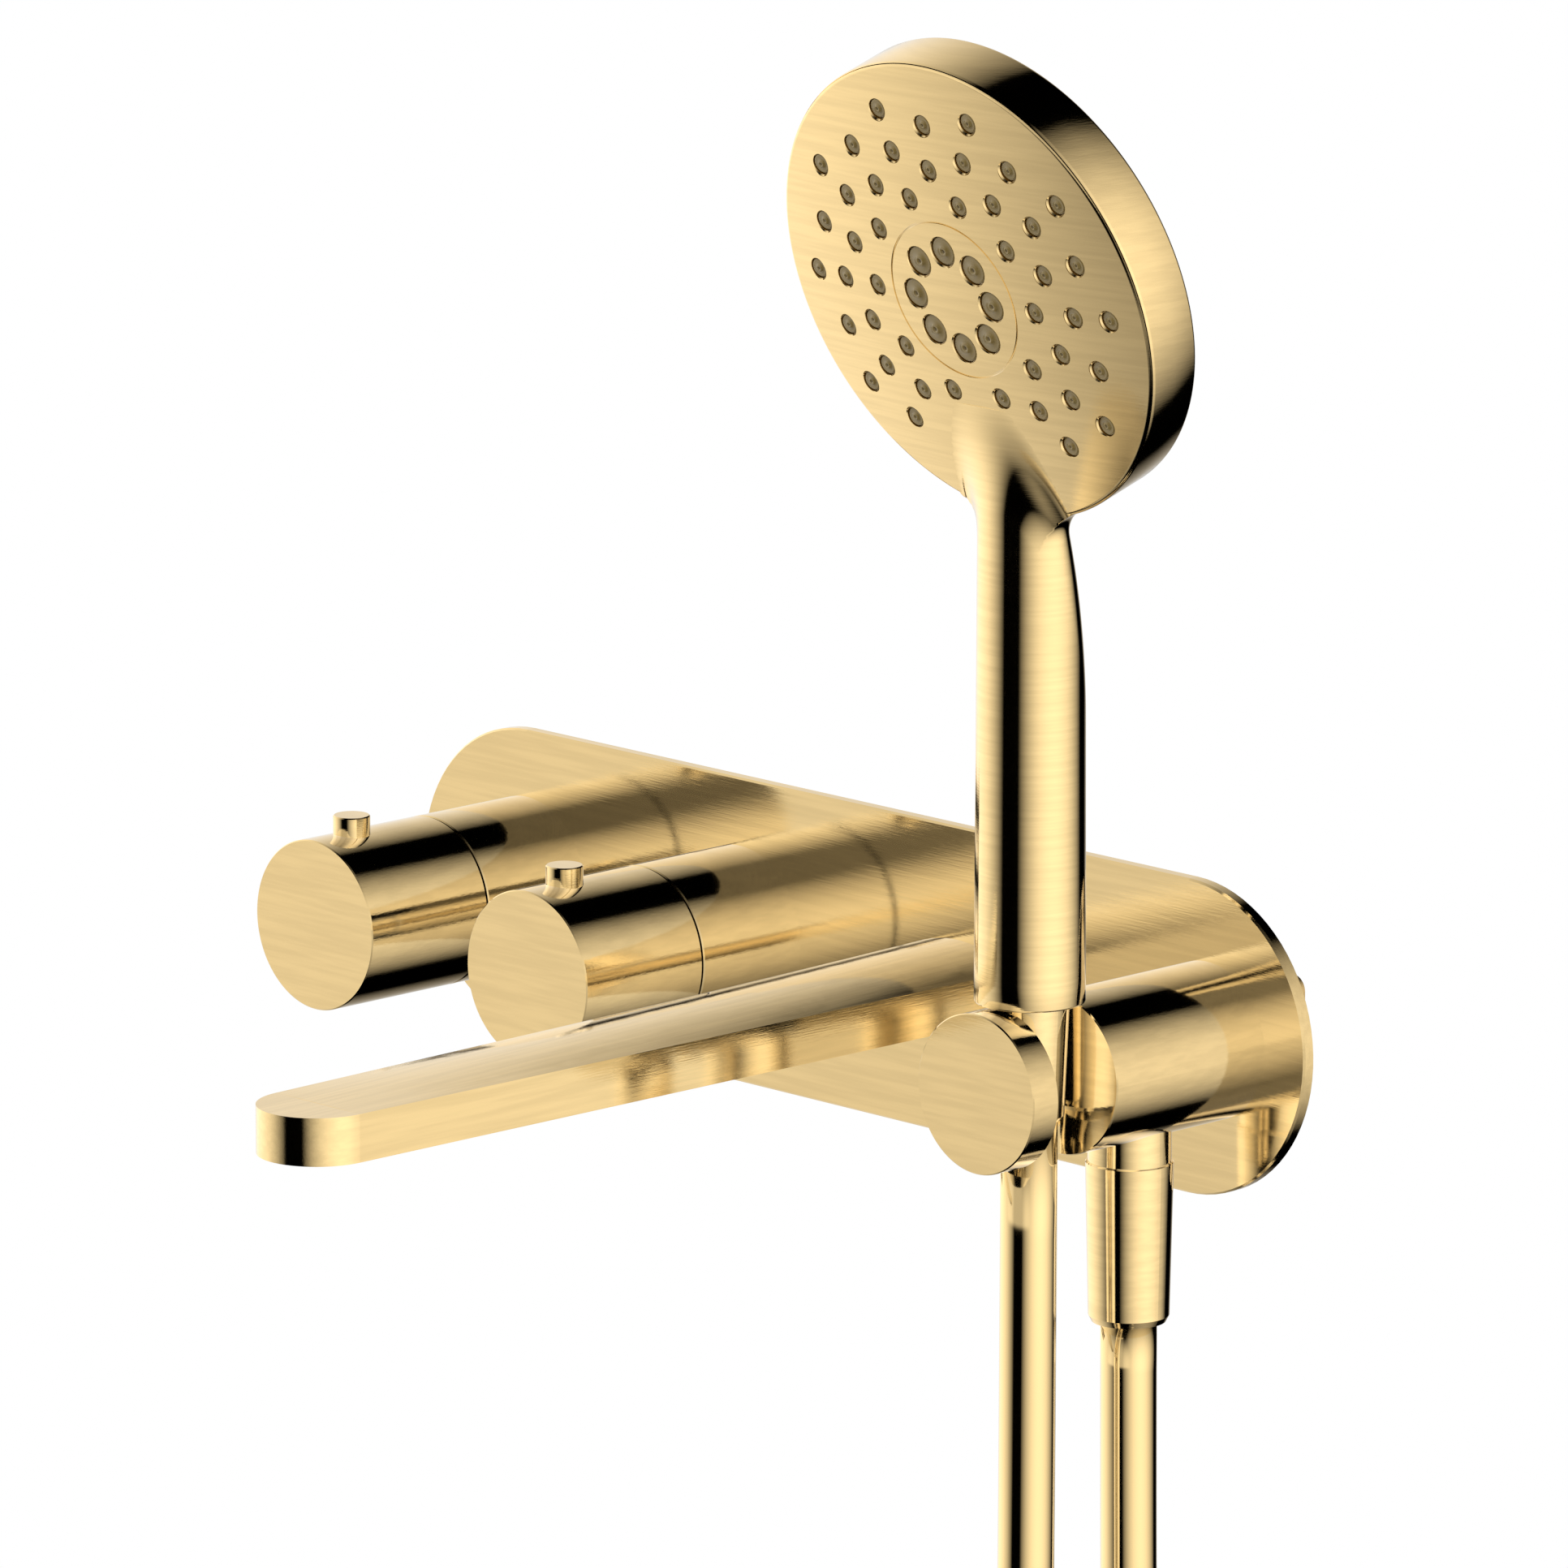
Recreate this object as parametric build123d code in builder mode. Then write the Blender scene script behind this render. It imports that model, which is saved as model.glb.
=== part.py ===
from build123d import *
import math
import os

# Wall mounted bath faucet with a hand shower on a hose.
# Origin: on the finished wall, in the middle of the wall plate. +X to the right, -Y out of the wall, +Z up.

os.makedirs("parts", exist_ok=True)

# ---------------------------------------------------------------- driving dimensions, millimetres
PLATE_LENGTH = 320
PLATE_HEIGHT = 80
PLATE_THICKNESS = 3.2
PLATE_BEVEL = 0.5

MIXER_X = -120
DIVERTER_X = -40
SPOUT_X = 39
HOLDER_X = 126.5

KNOB_RADIUS = 22.2
KNOB_FACE = 77.8          # front face of a knob, measured from the wall
KNOB_REAR = 37.9
COLLAR_FACE = 37.0        # the dark groove lies between COLLAR_FACE and KNOB_REAR
KNOB_WALL = 3.0
KNOB_FRONT_WALL = 4.0
EDGE_BREAK = 0.3
PIN_RADIUS = 4.8
PIN_STEM_RADIUS = 3.0
PIN_TOP = 27.0
PIN_SETBACK = 13.2        # pin axis behind the knob's face
HUB_RADIUS = 9.0
SET_SCREW_RADIUS = 2.0

SPINDLE_RADIUS = 4.0
RUNNING_CLEARANCE = 0.05
BEARING_CLEARANCE = 0.08
CARTRIDGE_RADIUS = 14.0
TOWER_RADIUS = 17.0
TOWER_FACE = 8.0
CARTRIDGE_FACE = 10.0
CARTRIDGE_DEPTH = 38.0    # rear end of a cartridge, behind the wall

RAIL_FRONT = 5.0          # the in-wall body starts this far behind the wall
RAIL_BACK = 21.0
BLOCK_BACK = 56.0
NIPPLE_RADIUS = 6.5
NIPPLE_BORE = 4.5
WATERWAY_RADIUS = 3.5
WATERWAY_BEHIND = 30.0
GALLERY_RADIUS = 2.6
RAIL_WAY_RADIUS = 2.3
RAIL_WAY_BEHIND = 13.0
HOLDER_WAY_Z = -10.0      # the way to the holder passes under the spout's seat
NIPPLE_REAR = 10.0
INLET_BORE = 9.3          # G1/2 tapping bore
INLET_DEPTH = 14.0
INLET_FACE = 38.0
INLET_BEHIND = 41.0
INLET_WAY_RADIUS = 5.5
FILTER_THICKNESS = 1.5
FILTER_HOLE_RING = 3.4
FILTER_HOLE_RADIUS = 1.0
FILTER_HOLE_COUNT = 8
CHECK_VALVE_BORE = 3.5
CHECK_VALVE_LENGTH = 10.0
LUG_X = (-130, 110)
LUG_Z = -23
LUG_HOLE = 2.75

SPOUT_REACH = 235.0
SPOUT_TIP_WIDTH = 30.0
SPOUT_ROOT_WIDTH = 38.0
SPOUT_HEIGHT = 12.0
SPOUT_MIDDLE_Z = -0.3
SPOUT_CROWN = 5.1
AERATOR_RADIUS = 9.5
AERATOR_SETBACK = 17.0    # aerator axis behind the spout's tip

HOLDER_RADIUS = 20.0
HOLDER_MAIN_FACE = 54.9
HOLDER_DISC_REAR = 75.4
HOLDER_DISC_FACE = 83.7
WEB_OFFSET = 10.8         # flat of the web that joins disc and main cylinder
HANDSET_DEPTH = 65.2      # hand shower axis, measured from the wall
OUTLET_DEPTH = 30.1       # outlet and rear hose axis, measured from the wall

HANDLE_BOTTOM = 20.4
HANDLE_RADIUS_LOW = 13.7
HANDLE_RADIUS_TOP = 13.2
HANDLE_BORE = 9.0
HEAD_TILT = 17.24         # the spray face looks down by this angle
FACE_APEX = (HOLDER_X, -92.4, 197.2)
HEAD_RADIUS = 60.0
FACE_RADIUS = 59.6
DOME_RADIUS = 360.0
FACE_THICKNESS = 2.6
RIM_FRONT = 6.3
RIM_BACK = 20.7
CENTRE_DISC_RADIUS = 20.4
SMALL_NOZZLE = 2.7
LARGE_NOZZLE = 3.9
LARGE_NOZZLE_RING = 12.8
LARGE_NOZZLE_COUNT = 8
NOZZLE_GAP = 0.15
SPOKE_PITCH = 36.0
# ring radius, first angle, and the angles that the handle leaves no room for
SMALL_NOZZLE_RINGS = [
    (26.7, 0.0, ()),
    (33.7, 18.0, (270.0,)),
    (38.8, 0.0, (252.0, 288.0)),
    (44.9, 18.0, (270.0,)),
    (49.4, 0.0, (252.0, 288.0)),
]

HOSE_RADIUS = 7.0
NUT_TOP = -25.7
NUT_BOTTOM = -66.4
HANDSET_NUT_BOTTOM = -9.0
MOVING_GAP = 0.3          # left between touching faces that move apart

HEAD_SIN = math.sin(math.radians(HEAD_TILT))
HEAD_COS = math.cos(math.radians(HEAD_TILT))


# ---------------------------------------------------------------- helpers
def front(depth, x=0, z=0):
    """Plane parallel to the wall, depth in front of it, looking out of the wall."""
    return Plane(origin=(x, -depth, z), x_dir=(1, 0, 0), z_dir=(0, -1, 0))


def level(z, x=0, depth=0):
    """Horizontal plane at height z, looking up."""
    return Plane(origin=(x, -depth, z), x_dir=(1, 0, 0), z_dir=(0, 0, 1))


def head_plane(depth):
    """Plane of the spray face, depth behind its apex, looking out of the face."""
    x, y, z = FACE_APEX
    origin = (x, y + depth * HEAD_COS, z + depth * HEAD_SIN)
    return Plane(origin=origin, x_dir=(1, 0, 0), z_dir=(0, -HEAD_COS, -HEAD_SIN))


def head_section():
    """Plane through the axis of the head: x is the radius, y points out of the face."""
    return Plane(origin=FACE_APEX, x_dir=(1, 0, 0), z_dir=(0, HEAD_SIN, -HEAD_COS))


HEAD_AXIS = Axis(FACE_APEX, (0, -HEAD_COS, -HEAD_SIN))


def dome_drop(radius):
    """Depth of the domed face at a radius."""
    return DOME_RADIUS - math.sqrt(DOME_RADIUS**2 - radius**2)


def save(piece, label):
    piece.part.label = label
    export_step(piece.part, f"parts/{label}.step")


def ring(label, plane, outer, inner, length):
    """Plain ring or bush standing on a plane."""
    with BuildPart() as piece:
        with BuildSketch(plane):
            Circle(outer)
            Circle(inner, mode=Mode.SUBTRACT)
        extrude(amount=length)
    save(piece, label)


def turned(label, x, depth, outline):
    """Piece turned about a vertical axis; the outline is a list of (radius, z)."""
    section = Plane(origin=(x, -depth, 0), x_dir=(1, 0, 0), z_dir=(0, -1, 0))
    with BuildPart() as piece:
        with BuildSketch(section):
            with BuildLine():
                Polyline(outline, close=True)
            make_face()
        revolve(axis=Axis((x, -depth, 0), (0, 0, 1)))
    save(piece, label)


def o_ring(label, plane, major, minor):
    """O-ring lying round the axis of a plane."""
    with BuildPart(plane) as piece:
        Torus(major, minor)
    save(piece, label)


# ---------------------------------------------------------------- in-wall valve body
BODY_LEFT = -142
BODY_RIGHT = 137
RAIL_HALF_HEIGHT = 14
BLOCK_LEFT = -140
BLOCK_RIGHT = 62
BLOCK_TOP = 18
INLET_X = (MIXER_X + 20, DIVERTER_X - 20)
INLET_BOSS_RADIUS = 14
GALLERY_Z = 8

with BuildPart() as valve_body:
    with BuildSketch(front(-RAIL_BACK, (BODY_LEFT + BODY_RIGHT) / 2)):
        RectangleRounded(BODY_RIGHT - BODY_LEFT, 2 * RAIL_HALF_HEIGHT, 4)
    extrude(amount=RAIL_BACK - RAIL_FRONT)
    with BuildSketch(front(-BLOCK_BACK, (BLOCK_LEFT + BLOCK_RIGHT) / 2)):
        RectangleRounded(BLOCK_RIGHT - BLOCK_LEFT, 2 * BLOCK_TOP, 8)
    extrude(amount=BLOCK_BACK - RAIL_BACK)
    with BuildSketch(front(-RAIL_BACK)):
        with Locations((MIXER_X, 0), (DIVERTER_X, 0)):
            Circle(TOWER_RADIUS)
    extrude(amount=RAIL_BACK + TOWER_FACE)
    with BuildSketch(front(-9)):
        with Locations((LUG_X[0], LUG_Z + 3), (LUG_X[1], LUG_Z + 3)):
            RectangleRounded(16, 20, 4)
    extrude(amount=4)
    for inlet_x in INLET_X:
        with BuildSketch(level(-INLET_FACE, inlet_x, -INLET_BEHIND)):
            Circle(INLET_BOSS_RADIUS)
        extrude(amount=INLET_FACE - BLOCK_TOP + 6)
    # cartridge bores
    with BuildSketch(front(-CARTRIDGE_DEPTH)):
        with Locations((MIXER_X, 0), (DIVERTER_X, 0)):
            Circle(CARTRIDGE_RADIUS)
    extrude(amount=CARTRIDGE_DEPTH + TOWER_FACE, mode=Mode.SUBTRACT)
    # seats of the spout and holder nipples, with room for an O-ring at the front
    with BuildSketch(front(-RAIL_FRONT)):
        with Locations((SPOUT_X, 0), (HOLDER_X, 0)):
            Circle(NIPPLE_RADIUS)
    extrude(amount=-11, mode=Mode.SUBTRACT)
    with BuildSketch(front(-RAIL_FRONT)):
        with Locations((SPOUT_X, 0), (HOLDER_X, 0)):
            Circle(NIPPLE_RADIUS + 2)
    extrude(amount=-2, mode=Mode.SUBTRACT)
    # waterways along the rail, from the diverter to each nipple
    for way_z, way_end in ((0, SPOUT_X), (HOLDER_WAY_Z, HOLDER_X)):
        way_start = (DIVERTER_X, RAIL_WAY_BEHIND, way_z)
        with BuildSketch(Plane(origin=way_start, x_dir=(0, 1, 0), z_dir=(1, 0, 0))):
            Circle(RAIL_WAY_RADIUS)
        extrude(amount=way_end + 3 - DIVERTER_X, mode=Mode.SUBTRACT)
    with BuildSketch(level(HOLDER_WAY_Z, HOLDER_X, -RAIL_WAY_BEHIND)):
        Circle(RAIL_WAY_RADIUS - 0.4)
    extrude(amount=-HOLDER_WAY_Z, mode=Mode.SUBTRACT)
    # waterway from the mixer to the diverter
    with BuildSketch(Plane(origin=(MIXER_X, WATERWAY_BEHIND, 0), x_dir=(0, 1, 0), z_dir=(1, 0, 0))):
        Circle(WATERWAY_RADIUS)
    extrude(amount=DIVERTER_X - MIXER_X, mode=Mode.SUBTRACT)
    # inlets
    for inlet_x in INLET_X:
        with BuildSketch(level(-INLET_FACE, inlet_x, -INLET_BEHIND)):
            Circle(INLET_BORE)
        extrude(amount=INLET_DEPTH, mode=Mode.SUBTRACT)
    # galleries from the inlets to the rear of the mixing cartridge, and their ports
    for inlet_x, port_x, way_z in zip(INLET_X, (MIXER_X - 5, MIXER_X + 5), (-GALLERY_Z, GALLERY_Z)):
        gallery_start = (port_x - 4, INLET_BEHIND, way_z)
        with BuildSketch(Plane(origin=gallery_start, x_dir=(0, 1, 0), z_dir=(1, 0, 0))):
            Circle(GALLERY_RADIUS)
        extrude(amount=inlet_x - port_x + 4, mode=Mode.SUBTRACT)
        with BuildSketch(front(-INLET_BEHIND, port_x, way_z)):
            Circle(2)
        extrude(amount=INLET_BEHIND - CARTRIDGE_DEPTH, mode=Mode.SUBTRACT)
        with BuildSketch(level(-INLET_FACE + INLET_DEPTH, inlet_x, -INLET_BEHIND)):
            Circle(INLET_WAY_RADIUS)
        extrude(amount=INLET_FACE - INLET_DEPTH + way_z + 2, mode=Mode.SUBTRACT)
    # screw holes in the lugs
    with BuildSketch(front(-10)):
        with Locations((LUG_X[0], LUG_Z), (LUG_X[1], LUG_Z)):
            Circle(LUG_HOLE)
    extrude(amount=6, mode=Mode.SUBTRACT)
save(valve_body, "valve_body")

with BuildPart() as inlet_filters:
    for inlet_x in INLET_X:
        with BuildSketch(level(-INLET_FACE + INLET_DEPTH, inlet_x, -INLET_BEHIND)):
            Circle(INLET_WAY_RADIUS)
            with PolarLocations(FILTER_HOLE_RING, FILTER_HOLE_COUNT):
                Circle(FILTER_HOLE_RADIUS, mode=Mode.SUBTRACT)
            Circle(FILTER_HOLE_RADIUS, mode=Mode.SUBTRACT)
        extrude(amount=FILTER_THICKNESS)
save(inlet_filters, "inlet_filters")

with BuildPart() as inlet_check_valves:
    for inlet_x in INLET_X:
        with BuildSketch(level(-INLET_FACE + INLET_DEPTH + FILTER_THICKNESS, inlet_x, -INLET_BEHIND)):
            Circle(INLET_WAY_RADIUS)
            Circle(CHECK_VALVE_BORE, mode=Mode.SUBTRACT)
        extrude(amount=CHECK_VALVE_LENGTH)
save(inlet_check_valves, "inlet_check_valves")

# ---------------------------------------------------------------- wall plate and gasket
GASKET_DEPTH = 1.6
GASKET_MARGIN = 4
GASKET_WIDTH = 4
TOWER_HOLE = TOWER_RADIUS + 1

with BuildPart() as wall_plate:
    with BuildSketch(front(0)):
        SlotOverall(PLATE_LENGTH, PLATE_HEIGHT)
    extrude(amount=PLATE_THICKNESS)
    chamfer(wall_plate.faces().sort_by(Axis.Y)[0].edges(), PLATE_BEVEL)
    with BuildSketch(front(0)):
        SlotOverall(PLATE_LENGTH - 2 * GASKET_MARGIN, PLATE_HEIGHT - 2 * GASKET_MARGIN)
        SlotOverall(
            PLATE_LENGTH - 2 * GASKET_MARGIN - 2 * GASKET_WIDTH,
            PLATE_HEIGHT - 2 * GASKET_MARGIN - 2 * GASKET_WIDTH,
            mode=Mode.SUBTRACT,
        )
    extrude(amount=GASKET_DEPTH, mode=Mode.SUBTRACT)
    with BuildSketch(front(0)):
        with Locations((MIXER_X, 0), (DIVERTER_X, 0)):
            Circle(TOWER_HOLE)
        with Locations((SPOUT_X, 0), (HOLDER_X, 0)):
            Circle(NIPPLE_RADIUS + 1)
    extrude(amount=PLATE_THICKNESS, mode=Mode.SUBTRACT)
save(wall_plate, "wall_plate")

with BuildPart() as plate_gasket:
    with BuildSketch(front(0)):
        SlotOverall(PLATE_LENGTH - 2 * GASKET_MARGIN, PLATE_HEIGHT - 2 * GASKET_MARGIN)
        SlotOverall(
            PLATE_LENGTH - 2 * GASKET_MARGIN - 2 * GASKET_WIDTH,
            PLATE_HEIGHT - 2 * GASKET_MARGIN - 2 * GASKET_WIDTH,
            mode=Mode.SUBTRACT,
        )
    extrude(amount=GASKET_DEPTH)
save(plate_gasket, "plate_gasket")

# ---------------------------------------------------------------- the two controls
COLLAR_BORE = 19.5
BEARING_BORE = 17.5
BEARING_REAR = 30
BEARING_FACE = 42
CARTRIDGE_CAVITY = 11
CAVITY_FRONT = -2
DISC_SPLIT = -30          # the two ceramic discs meet here, behind the wall
SPINDLE_TIP = 60
NUT_FACE = 14
NUT_ACROSS_FLATS_RADIUS = 17.9
SCREW_DEPTH = 47


def make_cartridge(name, x):
    """Fixed pieces of one control: collar, bearing ring, cartridge, ceramic disc, O-ring and nut."""
    with BuildPart() as collar:
        with BuildSketch(front(PLATE_THICKNESS, x)):
            Circle(KNOB_RADIUS)
            Circle(COLLAR_BORE, mode=Mode.SUBTRACT)
        extrude(amount=COLLAR_FACE - PLATE_THICKNESS)
        chamfer(collar.faces().sort_by(Axis.Y)[0].outer_wire().edges(), EDGE_BREAK)
    save(collar, f"{name}_collar")

    with BuildPart() as bearing:
        with BuildSketch(front(BEARING_REAR, x)):
            Circle(COLLAR_BORE)
        extrude(amount=COLLAR_FACE - BEARING_REAR)
        with BuildSketch(front(COLLAR_FACE, x)):
            Circle(KNOB_RADIUS - KNOB_WALL - BEARING_CLEARANCE)
        extrude(amount=BEARING_FACE - COLLAR_FACE)
        with BuildSketch(front(BEARING_REAR, x)):
            Circle(BEARING_BORE)
        extrude(amount=BEARING_FACE - BEARING_REAR, mode=Mode.SUBTRACT)
    save(bearing, f"{name}_bearing_ring")

    with BuildPart() as cartridge:
        with BuildSketch(front(-CARTRIDGE_DEPTH, x)):
            Circle(CARTRIDGE_RADIUS)
        extrude(amount=CARTRIDGE_DEPTH + CARTRIDGE_FACE)
        with BuildSketch(front(-CARTRIDGE_DEPTH, x)):
            Circle(CARTRIDGE_CAVITY)
        extrude(amount=CARTRIDGE_DEPTH + CAVITY_FRONT, mode=Mode.SUBTRACT)
        with BuildSketch(front(CAVITY_FRONT, x)):
            Circle(SPINDLE_RADIUS + RUNNING_CLEARANCE)
        extrude(amount=CARTRIDGE_FACE - CAVITY_FRONT, mode=Mode.SUBTRACT)
        with BuildSketch(front(4, x)):
            Circle(6)
        extrude(amount=2, mode=Mode.SUBTRACT)
        # side windows for the mixed water and for the two ways out
        with BuildSketch(Plane(origin=(x, WATERWAY_BEHIND, 0), x_dir=(0, 1, 0), z_dir=(1, 0, 0))):
            Circle(WATERWAY_RADIUS)
        extrude(amount=CARTRIDGE_RADIUS, both=True, mode=Mode.SUBTRACT)
        with BuildSketch(Plane(origin=(x, RAIL_WAY_BEHIND, 0), x_dir=(0, 1, 0), z_dir=(1, 0, 0))):
            with Locations((0, 0), (0, HOLDER_WAY_Z)):
                Circle(RAIL_WAY_RADIUS)
        extrude(amount=CARTRIDGE_RADIUS, mode=Mode.SUBTRACT)
    save(cartridge, f"{name}_cartridge")

    with BuildPart() as fixed_disc:
        with BuildSketch(front(DISC_SPLIT - 5, x)):
            Circle(CARTRIDGE_CAVITY)
            with PolarLocations(5.5, 3):
                Circle(2.2, mode=Mode.SUBTRACT)
        extrude(amount=4.9)
    save(fixed_disc, f"{name}_fixed_disc")

    o_ring(f"{name}_spindle_seal", front(5, x), 5.0 + RUNNING_CLEARANCE, 0.95)

    with BuildPart() as nut:
        with BuildSketch(front(TOWER_FACE, x)):
            RegularPolygon(NUT_ACROSS_FLATS_RADIUS, 6)
        extrude(amount=NUT_FACE - TOWER_FACE)
        with BuildSketch(front(TOWER_FACE, x)):
            Circle(CARTRIDGE_RADIUS)
        extrude(amount=CARTRIDGE_FACE - TOWER_FACE, mode=Mode.SUBTRACT)
        with BuildSketch(front(CARTRIDGE_FACE, x)):
            Circle(8)
        extrude(amount=NUT_FACE - CARTRIDGE_FACE, mode=Mode.SUBTRACT)
    save(nut, f"{name}_cartridge_nut")


def make_knob(name, x):
    """Turning pieces of one control: knob, grip pin, set screw, spindle and moving disc."""
    with BuildPart() as knob:
        with BuildSketch(front(KNOB_REAR, x)):
            Circle(KNOB_RADIUS)
        extrude(amount=KNOB_FACE - KNOB_REAR)
        chamfer(knob.faces().sort_by(Axis.Y)[0].edges(), EDGE_BREAK)
        with BuildSketch(front(KNOB_REAR, x)):
            Circle(KNOB_RADIUS - KNOB_WALL)
            Circle(HUB_RADIUS, mode=Mode.SUBTRACT)
        extrude(amount=KNOB_FACE - KNOB_REAR - KNOB_FRONT_WALL, mode=Mode.SUBTRACT)
        with BuildSketch(front(KNOB_REAR, x)):
            Circle(SPINDLE_RADIUS)
        extrude(amount=SPINDLE_TIP - KNOB_REAR, mode=Mode.SUBTRACT)
        with BuildSketch(level(KNOB_RADIUS - KNOB_WALL - 1, x, KNOB_FACE - PIN_SETBACK)):
            Circle(PIN_STEM_RADIUS)
        extrude(amount=KNOB_WALL + 2, mode=Mode.SUBTRACT)
        with BuildSketch(level(-SPINDLE_RADIUS, x, SCREW_DEPTH)):
            Circle(SET_SCREW_RADIUS)
        extrude(amount=-KNOB_RADIUS, mode=Mode.SUBTRACT)
    save(knob, f"{name}_knob")

    with BuildPart() as pin:
        with BuildSketch(level(KNOB_RADIUS - 2, x, KNOB_FACE - PIN_SETBACK)):
            Circle(PIN_RADIUS)
        extrude(amount=PIN_TOP - KNOB_RADIUS + 2)
        chamfer(pin.faces().sort_by(Axis.Z)[-1].edges(), EDGE_BREAK)
        with BuildSketch(front(KNOB_REAR, x)):
            Circle(KNOB_RADIUS)
        extrude(amount=KNOB_FACE - KNOB_REAR, mode=Mode.SUBTRACT)
        with BuildSketch(level(KNOB_RADIUS - KNOB_WALL, x, KNOB_FACE - PIN_SETBACK)):
            Circle(PIN_STEM_RADIUS)
        extrude(amount=KNOB_WALL)
    save(pin, f"{name}_grip_pin")

    with BuildPart() as set_screw:
        with BuildSketch(level(-SPINDLE_RADIUS, x, SCREW_DEPTH)):
            Circle(SET_SCREW_RADIUS)
        extrude(amount=-6)
        with BuildSketch(level(-SPINDLE_RADIUS - 6, x, SCREW_DEPTH)):
            RegularPolygon(1, 6)
        extrude(amount=2.5, mode=Mode.SUBTRACT)
    save(set_screw, f"{name}_set_screw")

    with BuildPart() as spindle:
        with BuildSketch(front(-22, x)):
            Circle(SPINDLE_RADIUS)
        extrude(amount=22 + SPINDLE_TIP)
        with BuildSketch(front(-25, x)):
            Circle(8)
        extrude(amount=5)
    save(spindle, f"{name}_spindle")

    with BuildPart() as moving_disc:
        with BuildSketch(front(DISC_SPLIT, x)):
            Circle(CARTRIDGE_CAVITY - 0.3)
            with Locations((0, 5.5)):
                SlotOverall(9, 4, mode=Mode.SUBTRACT)
        extrude(amount=5)
    save(moving_disc, f"{name}_moving_disc")


for control_name, control_x in (("temperature", MIXER_X), ("diverter", DIVERTER_X)):
    make_cartridge(control_name, control_x)
    make_knob(control_name, control_x)

# ---------------------------------------------------------------- spout
SPOUT_TOP = SPOUT_MIDDLE_Z + SPOUT_HEIGHT / 2
SPOUT_BOTTOM = SPOUT_MIDDLE_Z - SPOUT_HEIGHT / 2
TIP_RADIUS = SPOUT_TIP_WIDTH / 2
TIP_CENTRE = SPOUT_REACH - TIP_RADIUS
CHANNEL_HALF_WIDTH = 8
CHANNEL_FRONT = SPOUT_REACH - AERATOR_SETBACK

with BuildPart() as spout:
    # tapered bar with a round tip
    with BuildSketch(level(SPOUT_BOTTOM, SPOUT_X)):
        with BuildLine():
            Polyline(
                (-TIP_RADIUS, -TIP_CENTRE),
                (-SPOUT_ROOT_WIDTH / 2, -PLATE_THICKNESS),
                (SPOUT_ROOT_WIDTH / 2, -PLATE_THICKNESS),
                (TIP_RADIUS, -TIP_CENTRE),
            )
            ThreePointArc((TIP_RADIUS, -TIP_CENTRE), (0, -SPOUT_REACH), (-TIP_RADIUS, -TIP_CENTRE))
        make_face()
    extrude(amount=SPOUT_HEIGHT)
    # crown that grows from nothing at the tip to SPOUT_CROWN at the wall
    with BuildSketch(front(PLATE_THICKNESS, SPOUT_X)):
        with BuildLine():
            ThreePointArc(
                (-SPOUT_ROOT_WIDTH / 2, SPOUT_TOP),
                (0, SPOUT_TOP + SPOUT_CROWN),
                (SPOUT_ROOT_WIDTH / 2, SPOUT_TOP),
            )
            Line((SPOUT_ROOT_WIDTH / 2, SPOUT_TOP), (SPOUT_ROOT_WIDTH / 2, SPOUT_TOP - 1))
            Line((SPOUT_ROOT_WIDTH / 2, SPOUT_TOP - 1), (-SPOUT_ROOT_WIDTH / 2, SPOUT_TOP - 1))
            Line((-SPOUT_ROOT_WIDTH / 2, SPOUT_TOP - 1), (-SPOUT_ROOT_WIDTH / 2, SPOUT_TOP))
        make_face()
    with BuildSketch(front(TIP_CENTRE, SPOUT_X)):
        with BuildLine():
            ThreePointArc((-TIP_RADIUS, SPOUT_TOP), (0, SPOUT_TOP + 0.05), (TIP_RADIUS, SPOUT_TOP))
            Line((TIP_RADIUS, SPOUT_TOP), (TIP_RADIUS, SPOUT_TOP - 1))
            Line((TIP_RADIUS, SPOUT_TOP - 1), (-TIP_RADIUS, SPOUT_TOP - 1))
            Line((-TIP_RADIUS, SPOUT_TOP - 1), (-TIP_RADIUS, SPOUT_TOP))
        make_face()
    loft(ruled=True)
    # waterway, aerator seat, nipple bore and set screw hole
    with BuildSketch(level(SPOUT_MIDDLE_Z - 3, SPOUT_X)):
        with Locations((0, -(CHANNEL_FRONT + 22) / 2)):
            SlotOverall(CHANNEL_FRONT - 22 + CHANNEL_HALF_WIDTH * 2, CHANNEL_HALF_WIDTH * 2, rotation=90)
    extrude(amount=6, mode=Mode.SUBTRACT)
    with BuildSketch(level(SPOUT_BOTTOM, SPOUT_X, CHANNEL_FRONT)):
        Circle(AERATOR_RADIUS)
    extrude(amount=6.5, mode=Mode.SUBTRACT)
    with BuildSketch(front(PLATE_THICKNESS, SPOUT_X)):
        Circle(NIPPLE_RADIUS - 1)
    extrude(amount=22 - PLATE_THICKNESS, mode=Mode.SUBTRACT)
    with BuildSketch(level(SPOUT_BOTTOM, SPOUT_X, 10)):
        Circle(SET_SCREW_RADIUS)
    extrude(amount=1.5, mode=Mode.SUBTRACT)
save(spout, "spout")

with BuildPart() as spout_nipple:
    with BuildSketch(front(-NIPPLE_REAR, SPOUT_X)):
        Circle(NIPPLE_RADIUS)
    extrude(amount=NIPPLE_REAR)
    with BuildSketch(front(0, SPOUT_X)):
        Circle(NIPPLE_RADIUS - 1)
    extrude(amount=20)
    with BuildSketch(front(-NIPPLE_REAR, SPOUT_X)):
        Circle(NIPPLE_BORE - 0.5)
    extrude(amount=NIPPLE_REAR + 20, mode=Mode.SUBTRACT)
save(spout_nipple, "spout_nipple")
o_ring("spout_o_ring", front(-6, SPOUT_X), NIPPLE_RADIUS + 1, 0.95)

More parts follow.
